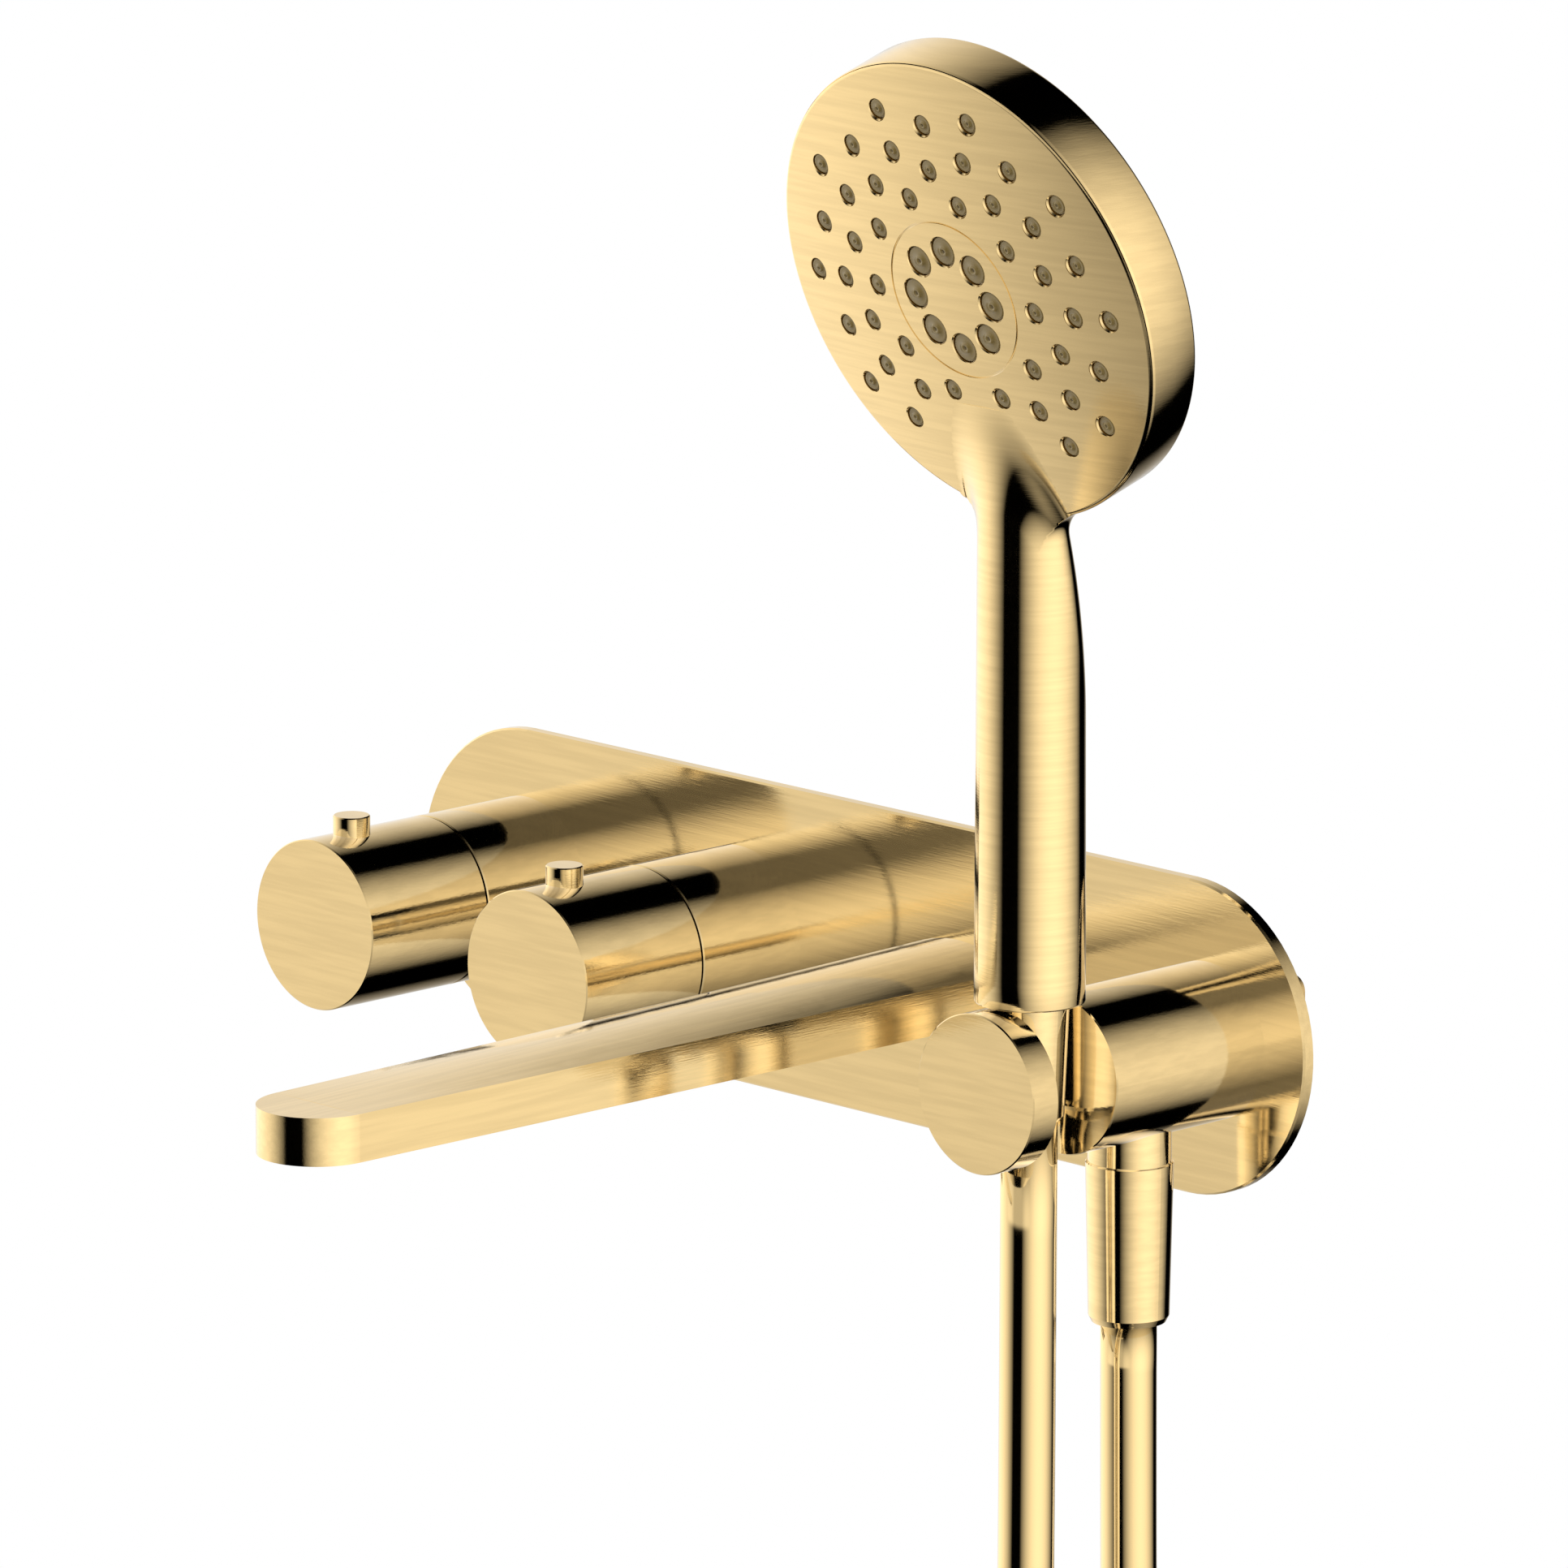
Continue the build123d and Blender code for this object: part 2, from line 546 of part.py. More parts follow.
with BuildPart() as spout_set_screw:
    with BuildSketch(level(SPOUT_BOTTOM, SPOUT_X, 10)):
        Circle(SET_SCREW_RADIUS)
        RegularPolygon(1, 6, mode=Mode.SUBTRACT)
    extrude(amount=0.8)
save(spout_set_screw, "spout_set_screw")

AERATOR_SEAT = level(SPOUT_BOTTOM, SPOUT_X, CHANNEL_FRONT)
ring("aerator_housing", AERATOR_SEAT, AERATOR_RADIUS, AERATOR_RADIUS - 1.5, 5)
with BuildPart() as aerator_screen:
    with BuildSketch(level(SPOUT_BOTTOM + 0.6, SPOUT_X, CHANNEL_FRONT)):
        Circle(AERATOR_RADIUS - 1.5)
        with GridLocations(2.2, 2.2, 6, 6):
            Rectangle(1.5, 1.5, mode=Mode.SUBTRACT)
        with BuildSketch(mode=Mode.ADD):
            Circle(AERATOR_RADIUS - 1.5)
            Circle(AERATOR_RADIUS - 2.3, mode=Mode.SUBTRACT)
    extrude(amount=3)
save(aerator_screen, "aerator_screen")
WASHER_SEAT = level(SPOUT_BOTTOM + 5, SPOUT_X, CHANNEL_FRONT)
ring("aerator_washer", WASHER_SEAT, AERATOR_RADIUS, AERATOR_RADIUS - 2.5, 1.5)

# ---------------------------------------------------------------- holder, outlet and hose nuts
NECK_RADIUS = 10.4
NECK_TOP = -15
STEM_RADIUS = 8.0
STEM_TOP = -6
STEM_BOTTOM = -36

with BuildPart() as holder_body:
    with BuildSketch(front(PLATE_THICKNESS, HOLDER_X)):
        Circle(HOLDER_RADIUS)
    extrude(amount=HOLDER_MAIN_FACE - PLATE_THICKNESS)
    chamfer(holder_body.faces().sort_by(Axis.Y)[0].edges(), EDGE_BREAK)
    with BuildSketch(front(HOLDER_DISC_REAR, HOLDER_X)):
        Circle(HOLDER_RADIUS)
    extrude(amount=HOLDER_DISC_FACE - HOLDER_DISC_REAR)
    chamfer(holder_body.faces().sort_by(Axis.Y)[0].edges(), EDGE_BREAK)
    # web on the far side that carries the disc
    with BuildSketch(front(HOLDER_MAIN_FACE - 2, HOLDER_X)):
        Circle(HOLDER_RADIUS - EDGE_BREAK)
        with Locations((HOLDER_RADIUS - WEB_OFFSET, 0)):
            Rectangle(2 * HOLDER_RADIUS, 3 * HOLDER_RADIUS, mode=Mode.SUBTRACT)
    extrude(amount=HOLDER_DISC_REAR - HOLDER_MAIN_FACE + 4)
    # water inlet from the wall, cross bore and outlet seat
    with BuildSketch(front(PLATE_THICKNESS, HOLDER_X)):
        Circle(NIPPLE_RADIUS)
    extrude(amount=16, mode=Mode.SUBTRACT)
    with BuildSketch(front(PLATE_THICKNESS, HOLDER_X)):
        Circle(NIPPLE_BORE)
    extrude(amount=OUTLET_DEPTH - PLATE_THICKNESS, mode=Mode.SUBTRACT)
    with BuildSketch(level(NECK_TOP, HOLDER_X, OUTLET_DEPTH)):
        Circle(NECK_RADIUS)
    extrude(amount=-20, mode=Mode.SUBTRACT)
    with BuildSketch(level(STEM_TOP, HOLDER_X, OUTLET_DEPTH)):
        Circle(STEM_RADIUS)
    extrude(amount=-20, mode=Mode.SUBTRACT)
    with BuildSketch(level(0, HOLDER_X, OUTLET_DEPTH)):
        Circle(NIPPLE_BORE)
    extrude(amount=-8, mode=Mode.SUBTRACT)
save(holder_body, "holder_body")

ring("holder_nipple", front(-NIPPLE_REAR, HOLDER_X), NIPPLE_RADIUS, NIPPLE_BORE, NIPPLE_REAR + 18)
o_ring("holder_o_ring", front(-6, HOLDER_X), NIPPLE_RADIUS + 1, 0.95)

turned("outlet_neck", HOLDER_X, OUTLET_DEPTH, [
    (5, STEM_TOP), (STEM_RADIUS, STEM_TOP), (STEM_RADIUS, NECK_TOP), (NECK_RADIUS, NECK_TOP),
    (NECK_RADIUS, NUT_TOP), (STEM_RADIUS, NUT_TOP), (STEM_RADIUS, STEM_BOTTOM), (4, STEM_BOTTOM),
    (4, -22), (5, -22),
])
ring("outlet_check_valve", level(-21, HOLDER_X, OUTLET_DEPTH), 5, 2.5, 14)
ring("outlet_washer", level(STEM_BOTTOM - 2, HOLDER_X, OUTLET_DEPTH), STEM_RADIUS, 4, 2)
turned("hose_nut_outlet", HOLDER_X, OUTLET_DEPTH, [
    (STEM_RADIUS, NUT_TOP), (10.7, NUT_TOP), (10.95, NUT_TOP - 0.3), (10.1, NUT_BOTTOM + 1.6),
    (9.3, NUT_BOTTOM), (HOSE_RADIUS, NUT_BOTTOM), (HOSE_RADIUS, STEM_BOTTOM - 2),
    (STEM_RADIUS, STEM_BOTTOM - 2),
])
ring("hose_ferrule_outlet", level(NUT_BOTTOM, HOLDER_X, OUTLET_DEPTH), HOSE_RADIUS, 4,
     STEM_BOTTOM - 2 - NUT_BOTTOM)

HANDSET_NUT_TOP = HANDLE_BOTTOM - MOVING_GAP
TAIL_BOTTOM = 8.0
WASHER_TOP = TAIL_BOTTOM - 0.1
WASHER_BOTTOM = 6.0
turned("hose_nut_handset", HOLDER_X, HANDSET_DEPTH, [
    (STEM_RADIUS + RUNNING_CLEARANCE, HANDSET_NUT_TOP), (9.5, HANDSET_NUT_TOP), (9.8, HANDSET_NUT_TOP - 0.3),
    (8.6, HANDSET_NUT_BOTTOM + 1), (8.0, HANDSET_NUT_BOTTOM), (HOSE_RADIUS, HANDSET_NUT_BOTTOM),
    (HOSE_RADIUS, WASHER_BOTTOM), (STEM_RADIUS + RUNNING_CLEARANCE, WASHER_BOTTOM),
])
ring("handset_washer", level(WASHER_BOTTOM, HOLDER_X, HANDSET_DEPTH), STEM_RADIUS, 4,
     WASHER_TOP - WASHER_BOTTOM)
ring("hose_ferrule_handset", level(HANDSET_NUT_BOTTOM, HOLDER_X, HANDSET_DEPTH), HOSE_RADIUS, 4,
     WASHER_BOTTOM - HANDSET_NUT_BOTTOM)

# ---------------------------------------------------------------- hand shower
HANDLE_TOP = 168
INSERT_TOP = 40
HANDLE_SHOULDER = 150


def handle_outline(bore):
    """Half section of the handle as (radius, z), closed by its axis when bore is zero."""
    return [
        (bore, HANDLE_BOTTOM), (HANDLE_RADIUS_LOW - 0.6, HANDLE_BOTTOM), (HANDLE_RADIUS_LOW, HANDLE_BOTTOM + 0.6),
        (HANDLE_RADIUS_TOP, HANDLE_SHOULDER - 15), (HANDLE_RADIUS_TOP, HANDLE_TOP), (bore, HANDLE_TOP),
    ]


HANDLE_SECTION = Plane(origin=(HOLDER_X, -HANDSET_DEPTH, 0), x_dir=(1, 0, 0), z_dir=(0, -1, 0))
HANDLE_AXIS = Axis((HOLDER_X, -HANDSET_DEPTH, 0), (0, 0, 1))

# the trimmed handle blank, used for the body and to notch the back cover
with BuildPart() as handle_blank:
    with BuildSketch(HANDLE_SECTION):
        with BuildLine():
            Polyline(handle_outline(0), close=True)
        make_face()
    revolve(axis=HANDLE_AXIS)
    # cut level with the back of the head
    with BuildSketch(head_plane(RIM_BACK)):
        Rectangle(80, 2 * HEAD_RADIUS)
    extrude(amount=-40, mode=Mode.SUBTRACT)


def nozzle_angles(first, left_out):
    """Angles of one ring of small nozzles."""
    angles = [first + SPOKE_PITCH * index for index in range(round(360 / SPOKE_PITCH))]
    return [angle for angle in angles if angle not in left_out]


def nozzle_places(radius, angles):
    return [(radius * math.cos(math.radians(a)), radius * math.sin(math.radians(a))) for a in angles]


def dome_section(outer, inner, top, bottom):
    """Face between two domes; top and bottom are depths behind the apex at the axis."""
    drop_out = dome_drop(outer)
    drop_in = dome_drop(inner)
    middle = (outer + inner) / 2
    drop_mid = dome_drop(middle)
    with BuildSketch() as section:
        with BuildLine():
            ThreePointArc((inner, -top - drop_in), (middle, -top - drop_mid), (outer, -top - drop_out))
            Line((outer, -top - drop_out), (outer, -bottom - drop_out))
            ThreePointArc((outer, -bottom - drop_out), (middle, -bottom - drop_mid), (inner, -bottom - drop_in))
            Line((inner, -bottom - drop_in), (inner, -top - drop_in))
        make_face()
    return section.sketch_local


FACE_SECTION = dome_section(FACE_RADIUS, CENTRE_DISC_RADIUS, 0, FACE_THICKNESS)
FACE_SEAT_SECTION = dome_section(FACE_RADIUS, 30, -4, FACE_THICKNESS)

with BuildPart() as handset_body:
    add(handle_blank.part)
    # domed spray face with a seat for the centre disc
    with BuildSketch(head_section()):
        add(FACE_SECTION)
    revolve(axis=HEAD_AXIS)
    for ring_radius, first_angle, left_out in SMALL_NOZZLE_RINGS:
        with BuildSketch(head_plane(12)):
            with Locations(*nozzle_places(ring_radius, nozzle_angles(first_angle, left_out))):
                Circle(SMALL_NOZZLE)
        extrude(amount=16, mode=Mode.SUBTRACT)
    # water channel up the handle, and room for the innards behind the face
    with BuildSketch(level(HANDLE_BOTTOM, HOLDER_X, HANDSET_DEPTH)):
        Circle(HANDLE_BORE)
    extrude(amount=132, mode=Mode.SUBTRACT)
    with BuildSketch(head_plane(16.5)):
        Circle(54)
    extrude(amount=8.2, mode=Mode.SUBTRACT)
save(handset_body, "handset_body")

with BuildPart() as head_back_cover:
    with BuildSketch(head_plane(RIM_BACK)):
        Circle(HEAD_RADIUS)
    extrude(amount=RIM_BACK - RIM_FRONT)
    chamfer(head_back_cover.edges().sort_by(HEAD_AXIS)[0], 1.2)
    with BuildSketch(head_plane(17.5)):
        Circle(HEAD_RADIUS - 2.5)
    extrude(amount=20, mode=Mode.SUBTRACT)
    # rear of the domed face seats inside the rim
    with BuildSketch(head_section()):
        add(FACE_SEAT_SECTION)
    revolve(axis=HEAD_AXIS, mode=Mode.SUBTRACT)
    add(handle_blank.part, mode=Mode.SUBTRACT)
save(head_back_cover, "head_back_cover")

with BuildPart() as centre_disc:
    with BuildSketch(head_section()):
        with BuildLine():
            rim = CENTRE_DISC_RADIUS - 0.3
            Line((0, 0), (0, -FACE_THICKNESS))
            Line((0, -FACE_THICKNESS), (rim, -FACE_THICKNESS - dome_drop(rim)))
            Line((rim, -FACE_THICKNESS - dome_drop(rim)), (rim, -dome_drop(rim)))
            ThreePointArc((rim, -dome_drop(rim)), (rim / 2, -dome_drop(rim / 2)), (0, 0))
        make_face()
    revolve(axis=HEAD_AXIS)
    with BuildSketch(head_plane(8)):
        with PolarLocations(LARGE_NOZZLE_RING, LARGE_NOZZLE_COUNT):
            Circle(LARGE_NOZZLE)
    extrude(amount=12, mode=Mode.SUBTRACT)
save(centre_disc, "centre_disc")

MAT_FRONT = 9.0
MAT_THICKNESS = 1.6
NIPPLE_SHORT = 0.5        # the silicone nozzles stop this far below the face

with BuildPart() as nozzle_mat:
    with BuildSketch(head_plane(MAT_FRONT + MAT_THICKNESS)):
        Circle(53.5)
        Circle(CENTRE_DISC_RADIUS, mode=Mode.SUBTRACT)
    extrude(amount=MAT_THICKNESS)
    for ring_radius, first_angle, left_out in SMALL_NOZZLE_RINGS:
        with BuildSketch(head_plane(MAT_FRONT)):
            with Locations(*nozzle_places(ring_radius, nozzle_angles(first_angle, left_out))):
                Circle(SMALL_NOZZLE - NOZZLE_GAP)
        extrude(amount=MAT_FRONT - dome_drop(ring_radius) - NIPPLE_SHORT)
    with BuildSketch(head_plane(MAT_FRONT + MAT_THICKNESS)):
        for ring_radius, first_angle, left_out in SMALL_NOZZLE_RINGS:
            with Locations(*nozzle_places(ring_radius, nozzle_angles(first_angle, left_out))):
                Circle(0.6)
    extrude(amount=MAT_FRONT + MAT_THICKNESS, mode=Mode.SUBTRACT)
save(nozzle_mat, "nozzle_mat")

with BuildPart() as centre_nozzle_mat:
    with BuildSketch(head_plane(MAT_FRONT + MAT_THICKNESS)):
        Circle(CENTRE_DISC_RADIUS - 1)
    extrude(amount=MAT_THICKNESS)
    with BuildSketch(head_plane(MAT_FRONT)):
        with PolarLocations(LARGE_NOZZLE_RING, LARGE_NOZZLE_COUNT):
            Circle(LARGE_NOZZLE - NOZZLE_GAP)
    extrude(amount=MAT_FRONT - NIPPLE_SHORT)
    with BuildSketch(head_plane(MAT_FRONT + MAT_THICKNESS)):
        with PolarLocations(LARGE_NOZZLE_RING, LARGE_NOZZLE_COUNT):
            Circle(1.2)
    extrude(amount=MAT_FRONT + MAT_THICKNESS, mode=Mode.SUBTRACT)
save(centre_nozzle_mat, "centre_nozzle_mat")

with BuildPart() as water_distributor:
    with BuildSketch(head_plane(14)):
        Circle(50)
        with PolarLocations(LARGE_NOZZLE_RING, LARGE_NOZZLE_COUNT):
            Circle(1.5, mode=Mode.SUBTRACT)
        for ring_radius in (26.7, 38.8):
            with PolarLocations(ring_radius, 10):
                Circle(1.5, mode=Mode.SUBTRACT)
    extrude(amount=14 - MAT_FRONT - MAT_THICKNESS)
    add(handle_blank.part, mode=Mode.SUBTRACT)
save(water_distributor, "water_distributor")

turned("handset_inlet_insert", HOLDER_X, HANDSET_DEPTH, [
    (5, TAIL_BOTTOM), (STEM_RADIUS, TAIL_BOTTOM), (STEM_RADIUS, HANDLE_BOTTOM), (HANDLE_BORE, HANDLE_BOTTOM),
    (HANDLE_BORE, INSERT_TOP), (5, INSERT_TOP),
])
ring("flow_regulator", level(TAIL_BOTTOM, HOLDER_X, HANDSET_DEPTH), 5, 2.5, 6)

# ---------------------------------------------------------------- hose
# corners of the two runs: straight down from the nut, then aside onto the coil
REAR_ROUTE = [
    (126.5, -30.1, -66.4),
    (126.5, -29.3, -155.2),
    (146.2, -27.7, -190.6),
    (163.4, -26.9, -201.3),
]
FRONT_ROUTE = [
    (126.5, -65.2, -9.3),
    (126.5, -66.1, -155.2),
    (106.8, -67.8, -190.6),
    (89.6, -68.6, -201.3),
]
COIL_Z = -260.8
COIL_RADIUS = 70.0
COIL_TURNS = 2
COIL_REAR = -REAR_ROUTE[-1][1]
COIL_FRONT = -FRONT_ROUTE[-1][1]
COIL_MIDDLE = (COIL_FRONT + COIL_REAR) / 2
COIL_WALL = HOSE_RADIUS + 0.6     # the ring round the turns, which both runs end inside
COIL_HALF_WIDTH = (COIL_FRONT - COIL_REAR) / 2 + COIL_WALL
ENTRY_ANGLE = math.degrees(math.atan2(REAR_ROUTE[-1][2] - COIL_Z, REAR_ROUTE[-1][0] - HOLDER_X))
COIL_SWEEP = 180 + 2 * ENTRY_ANGLE + 360 * COIL_TURNS


def corner_radii(points):
    """Radius at each corner of a route: 0.45 of its shorter run over the tangent of half the turn."""
    radii = []
    for before, here, after in zip(points, points[1:], points[2:]):
        run_in = Vector(*here) - Vector(*before)
        run_out = Vector(*after) - Vector(*here)
        turn = math.radians(run_in.get_angle(run_out))
        radii.append(0.45 * min(run_in.length, run_out.length) / math.tan(turn / 2))
    return radii


with BuildPart() as hose_coil:
    with BuildSketch(front(COIL_MIDDLE - COIL_HALF_WIDTH, HOLDER_X, COIL_Z)):
        Circle(COIL_RADIUS + COIL_WALL)
        Circle(COIL_RADIUS - COIL_WALL, mode=Mode.SUBTRACT)
    extrude(amount=2 * COIL_HALF_WIDTH)
save(hose_coil, "hose_coil")


def make_hose_run(label, points):
    """Plain tube from a nut down to where the hose joins the coil."""
    radii = corner_radii(points)
    print(label, "arc radii", [round(radius, 1) for radius in radii])
    with BuildPart() as run:
        with BuildLine() as route:
            FilletPolyline(*points, radius=radii)
        length = route.wire().length
        with BuildSketch(level(points[0][2], points[0][0], -points[0][1])):
            Circle(HOSE_RADIUS)
        sweep(path=route.wire())
        expected = math.pi * HOSE_RADIUS**2 * length
        print(label, "volume", round(run.part.volume), "section x length", round(expected))
    save(run, label)
    return length


REAR_LENGTH = make_hose_run("hose_run_rear", REAR_ROUTE)
FRONT_LENGTH = make_hose_run("hose_run_front", FRONT_ROUTE)
COIL_LENGTH = math.hypot(math.radians(COIL_SWEEP) * COIL_RADIUS, COIL_FRONT - COIL_REAR)
print("hose length", round(REAR_LENGTH + FRONT_LENGTH + COIL_LENGTH))

TIE_WALL = 1.2
TIE_WIDTH = 12
TIE_START = (HOLDER_X - TIE_WIDTH / 2, -COIL_MIDDLE, COIL_Z - COIL_RADIUS)
with BuildPart() as hose_tie:
    with BuildSketch(Plane(origin=TIE_START, x_dir=(0, 1, 0), z_dir=(1, 0, 0))):
        RectangleRounded(2 * COIL_HALF_WIDTH + 2 * TIE_WALL, 2 * COIL_WALL + 2 * TIE_WALL, 1)
    extrude(amount=TIE_WIDTH)
    add(hose_coil.part, mode=Mode.SUBTRACT)
save(hose_tie, "hose_tie")
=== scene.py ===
"""Looks of a wall mounted bath faucet with a hand shower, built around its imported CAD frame.

Metres throughout. The origin is on the finished wall, in the middle of the wall plate; +X to the
right, -Y out of the wall, +Z up. Laid out as an add-on, and run as a script.
"""

import math

import bmesh
import bpy
from bpy.props import (
    BoolProperty,
    FloatProperty,
    FloatVectorProperty,
    IntProperty,
    PointerProperty,
)
from mathutils import Matrix, Vector


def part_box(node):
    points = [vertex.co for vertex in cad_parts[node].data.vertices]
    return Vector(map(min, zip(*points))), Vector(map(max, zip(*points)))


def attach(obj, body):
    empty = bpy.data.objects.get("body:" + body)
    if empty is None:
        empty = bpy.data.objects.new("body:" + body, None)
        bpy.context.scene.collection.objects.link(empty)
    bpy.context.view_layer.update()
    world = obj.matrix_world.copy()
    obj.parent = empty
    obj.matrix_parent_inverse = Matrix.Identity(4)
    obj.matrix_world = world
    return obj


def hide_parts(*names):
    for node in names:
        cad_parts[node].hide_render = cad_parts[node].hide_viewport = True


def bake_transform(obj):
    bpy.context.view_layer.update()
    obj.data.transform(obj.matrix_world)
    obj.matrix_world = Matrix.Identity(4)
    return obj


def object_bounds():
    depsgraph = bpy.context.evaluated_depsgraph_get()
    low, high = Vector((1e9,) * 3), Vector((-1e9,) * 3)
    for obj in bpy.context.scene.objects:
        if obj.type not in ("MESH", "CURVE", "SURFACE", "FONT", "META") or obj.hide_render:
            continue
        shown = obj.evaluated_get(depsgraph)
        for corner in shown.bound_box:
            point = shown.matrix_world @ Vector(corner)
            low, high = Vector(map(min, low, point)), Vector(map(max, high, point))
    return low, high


bl_info = {
    "name": "Bath Faucet Builder",
    "version": (1, 0, 0),
    "blender": (4, 5, 0),
    "location": "View3D > Sidebar > Faucet",
    "description": "Builds the finish, hose and hand shower of a wall mounted bath faucet",
    "category": "Object",
}

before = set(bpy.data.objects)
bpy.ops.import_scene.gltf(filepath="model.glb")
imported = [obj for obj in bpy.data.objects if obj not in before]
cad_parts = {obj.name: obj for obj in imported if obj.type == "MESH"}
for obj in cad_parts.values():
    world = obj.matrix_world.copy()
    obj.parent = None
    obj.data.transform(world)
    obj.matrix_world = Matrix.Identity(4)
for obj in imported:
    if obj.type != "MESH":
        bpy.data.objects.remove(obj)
CAD_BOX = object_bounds()

# ---------------------------------------------------------------- sizes read from the frame
NUT_LOW, NUT_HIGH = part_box("hose_nut_handset")
HANDLE_X = (NUT_LOW.x + NUT_HIGH.x) / 2
HANDLE_Y = (NUT_LOW.y + NUT_HIGH.y) / 2
HANDLE_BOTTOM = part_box("handset_body")[0].z

# ---------------------------------------------------------------- head geometry
TILT = math.radians(17.24)
FACE_OUT = Vector((0, -math.cos(TILT), -math.sin(TILT)))
FACE_UP = Vector((0, -math.sin(TILT), math.cos(TILT)))
FACE_RIGHT = Vector((1, 0, 0))
FACE_APEX = Vector((HANDLE_X, -0.0924, 0.1972))

# radius of each ring of small nozzles, its first angle, and the angles where the handle leaves
# no room for one
NOZZLE_RINGS = (
    (0.0267, 0.0, ()),
    (0.0337, 18.0, (270.0,)),
    (0.0388, 0.0, (252.0, 288.0)),
    (0.0449, 18.0, (270.0,)),
    (0.0494, 0.0, (252.0, 288.0)),
)
SPOKE_PITCH = 36.0
LARGE_NOZZLE_RING = 0.0128
LARGE_NOZZLE_COUNT = 8

# corners of the hose's two runs: the rear one down from the outlet nut to the coil, the front one
# from the coil up to the hand shower
REAR_ROUTE = (
    (0.1265, -0.0301, -0.0664),
    (0.1265, -0.0299, -0.1050),
    (0.1265, -0.0293, -0.1552),
    (0.1462, -0.0277, -0.1906),
    (0.1634, -0.0269, -0.2013),
)
FRONT_ROUTE = (
    (0.0896, -0.0686, -0.2013),
    (0.1068, -0.0678, -0.1906),
    (0.1265, -0.0661, -0.1552),
    (0.1265, -0.0655, -0.1050),
    (0.1265, -0.0652, -0.0093),
)
COIL_Z = -0.2608
COIL_RADIUS = 0.070
COIL_TURNS = 2
COIL_POINTS_PER_TURN = 12
HOSE_LINE_RESOLUTION = 6
STRAP_CORNER = 0.0045
STRAP_CORNER_STEPS = 8
STRAP_THICKNESS = 0.0009


# ---------------------------------------------------------------- settings
class FaucetSettings(bpy.types.PropertyGroup):
    """Sizes and colours of the faucet's finish"""

    gold: FloatVectorProperty(
        name="Gold", description="Colour of the brushed plating", subtype="COLOR",
        size=3, min=0, max=1, default=(0.93, 0.685, 0.325))
    gold_roughness: FloatProperty(
        name="Gold roughness", description="Roughness of the plating between its brush marks",
        min=0, max=1, default=0.07)
    brush_depth: FloatProperty(
        name="Brush depth", description="Strength of the brush marks", min=0, max=1, default=0.25)
    hose_length: FloatProperty(
        name="Hose length", description="Real length of the shower hose", unit="LENGTH",
        min=1.0, max=2.5, default=1.6)
    hose_radius: FloatProperty(
        name="Hose radius", description="Outer radius of the shower hose", unit="LENGTH",
        min=0.004, max=0.01, default=0.007)
    hose_sides: IntProperty(
        name="Hose sides", description="Faces round the hose", min=12, max=64, default=40)
    nozzle_radius: FloatProperty(
        name="Nozzle radius", description="Radius of a small nozzle's hole", unit="LENGTH",
        min=0.001, max=0.004, default=0.0027)
    large_nozzle_radius: FloatProperty(
        name="Large nozzle radius", description="Radius of a nozzle's hole in the middle disc",
        unit="LENGTH", min=0.001, max=0.006, default=0.0039)
    head_radius: FloatProperty(
        name="Head radius", description="Radius of the spray head's rim", unit="LENGTH",
        min=0.04, max=0.08, default=0.060)
    head_depth: FloatProperty(
        name="Head depth", description="Apex of the spray face to the back of the head",
        unit="LENGTH", min=0.01, max=0.04, default=0.0207)
    face_dome: FloatProperty(
        name="Face dome", description="Radius of the sphere that the spray face is part of",
        unit="LENGTH", min=0.1, max=2.0, default=0.36)
    key_light: FloatProperty(
        name="Key light", description="Power of the large soft light", subtype="POWER",
        unit="POWER", min=0, max=500, default=40.0)
    show_floor: BoolProperty(
        name="Floor", description="Put a pale floor under the faucet", default=True)


# ---------------------------------------------------------------- node helpers
def wire(tree, source, target):
    tree.links.new(source, target)


def node(tree, kind, x=0, y=0, **values):
    made = tree.nodes.new(kind)
    made.location = (x, y)
    for key, value in values.items():
        setattr(made, key, value)
    return made


def math_node(tree, operation, first, second):
    """Math node whose inputs are sockets or numbers; returns its output socket."""
    made = node(tree, "ShaderNodeMath", operation=operation)
    for index, value in enumerate((first, second)):
        if isinstance(value, (int, float)):
            made.inputs[index].default_value = value
        else:
            wire(tree, value, made.inputs[index])
    return made.outputs[0]


def smooth_step(tree, value, low, high):
    """0 below low, 1 above high."""
    made = node(tree, "ShaderNodeMapRange", interpolation_type="SMOOTHSTEP")
    wire(tree, value, made.inputs["Value"])
    made.inputs["From Min"].default_value = low
    made.inputs["From Max"].default_value = high
    return made.outputs["Result"]


COARSE_SHARE = 0.22
STREAK_RANGE = (0.30, 0.72)
BRUSH_HEIGHT = 0.00004
GRAIN_HEIGHT = 0.00005


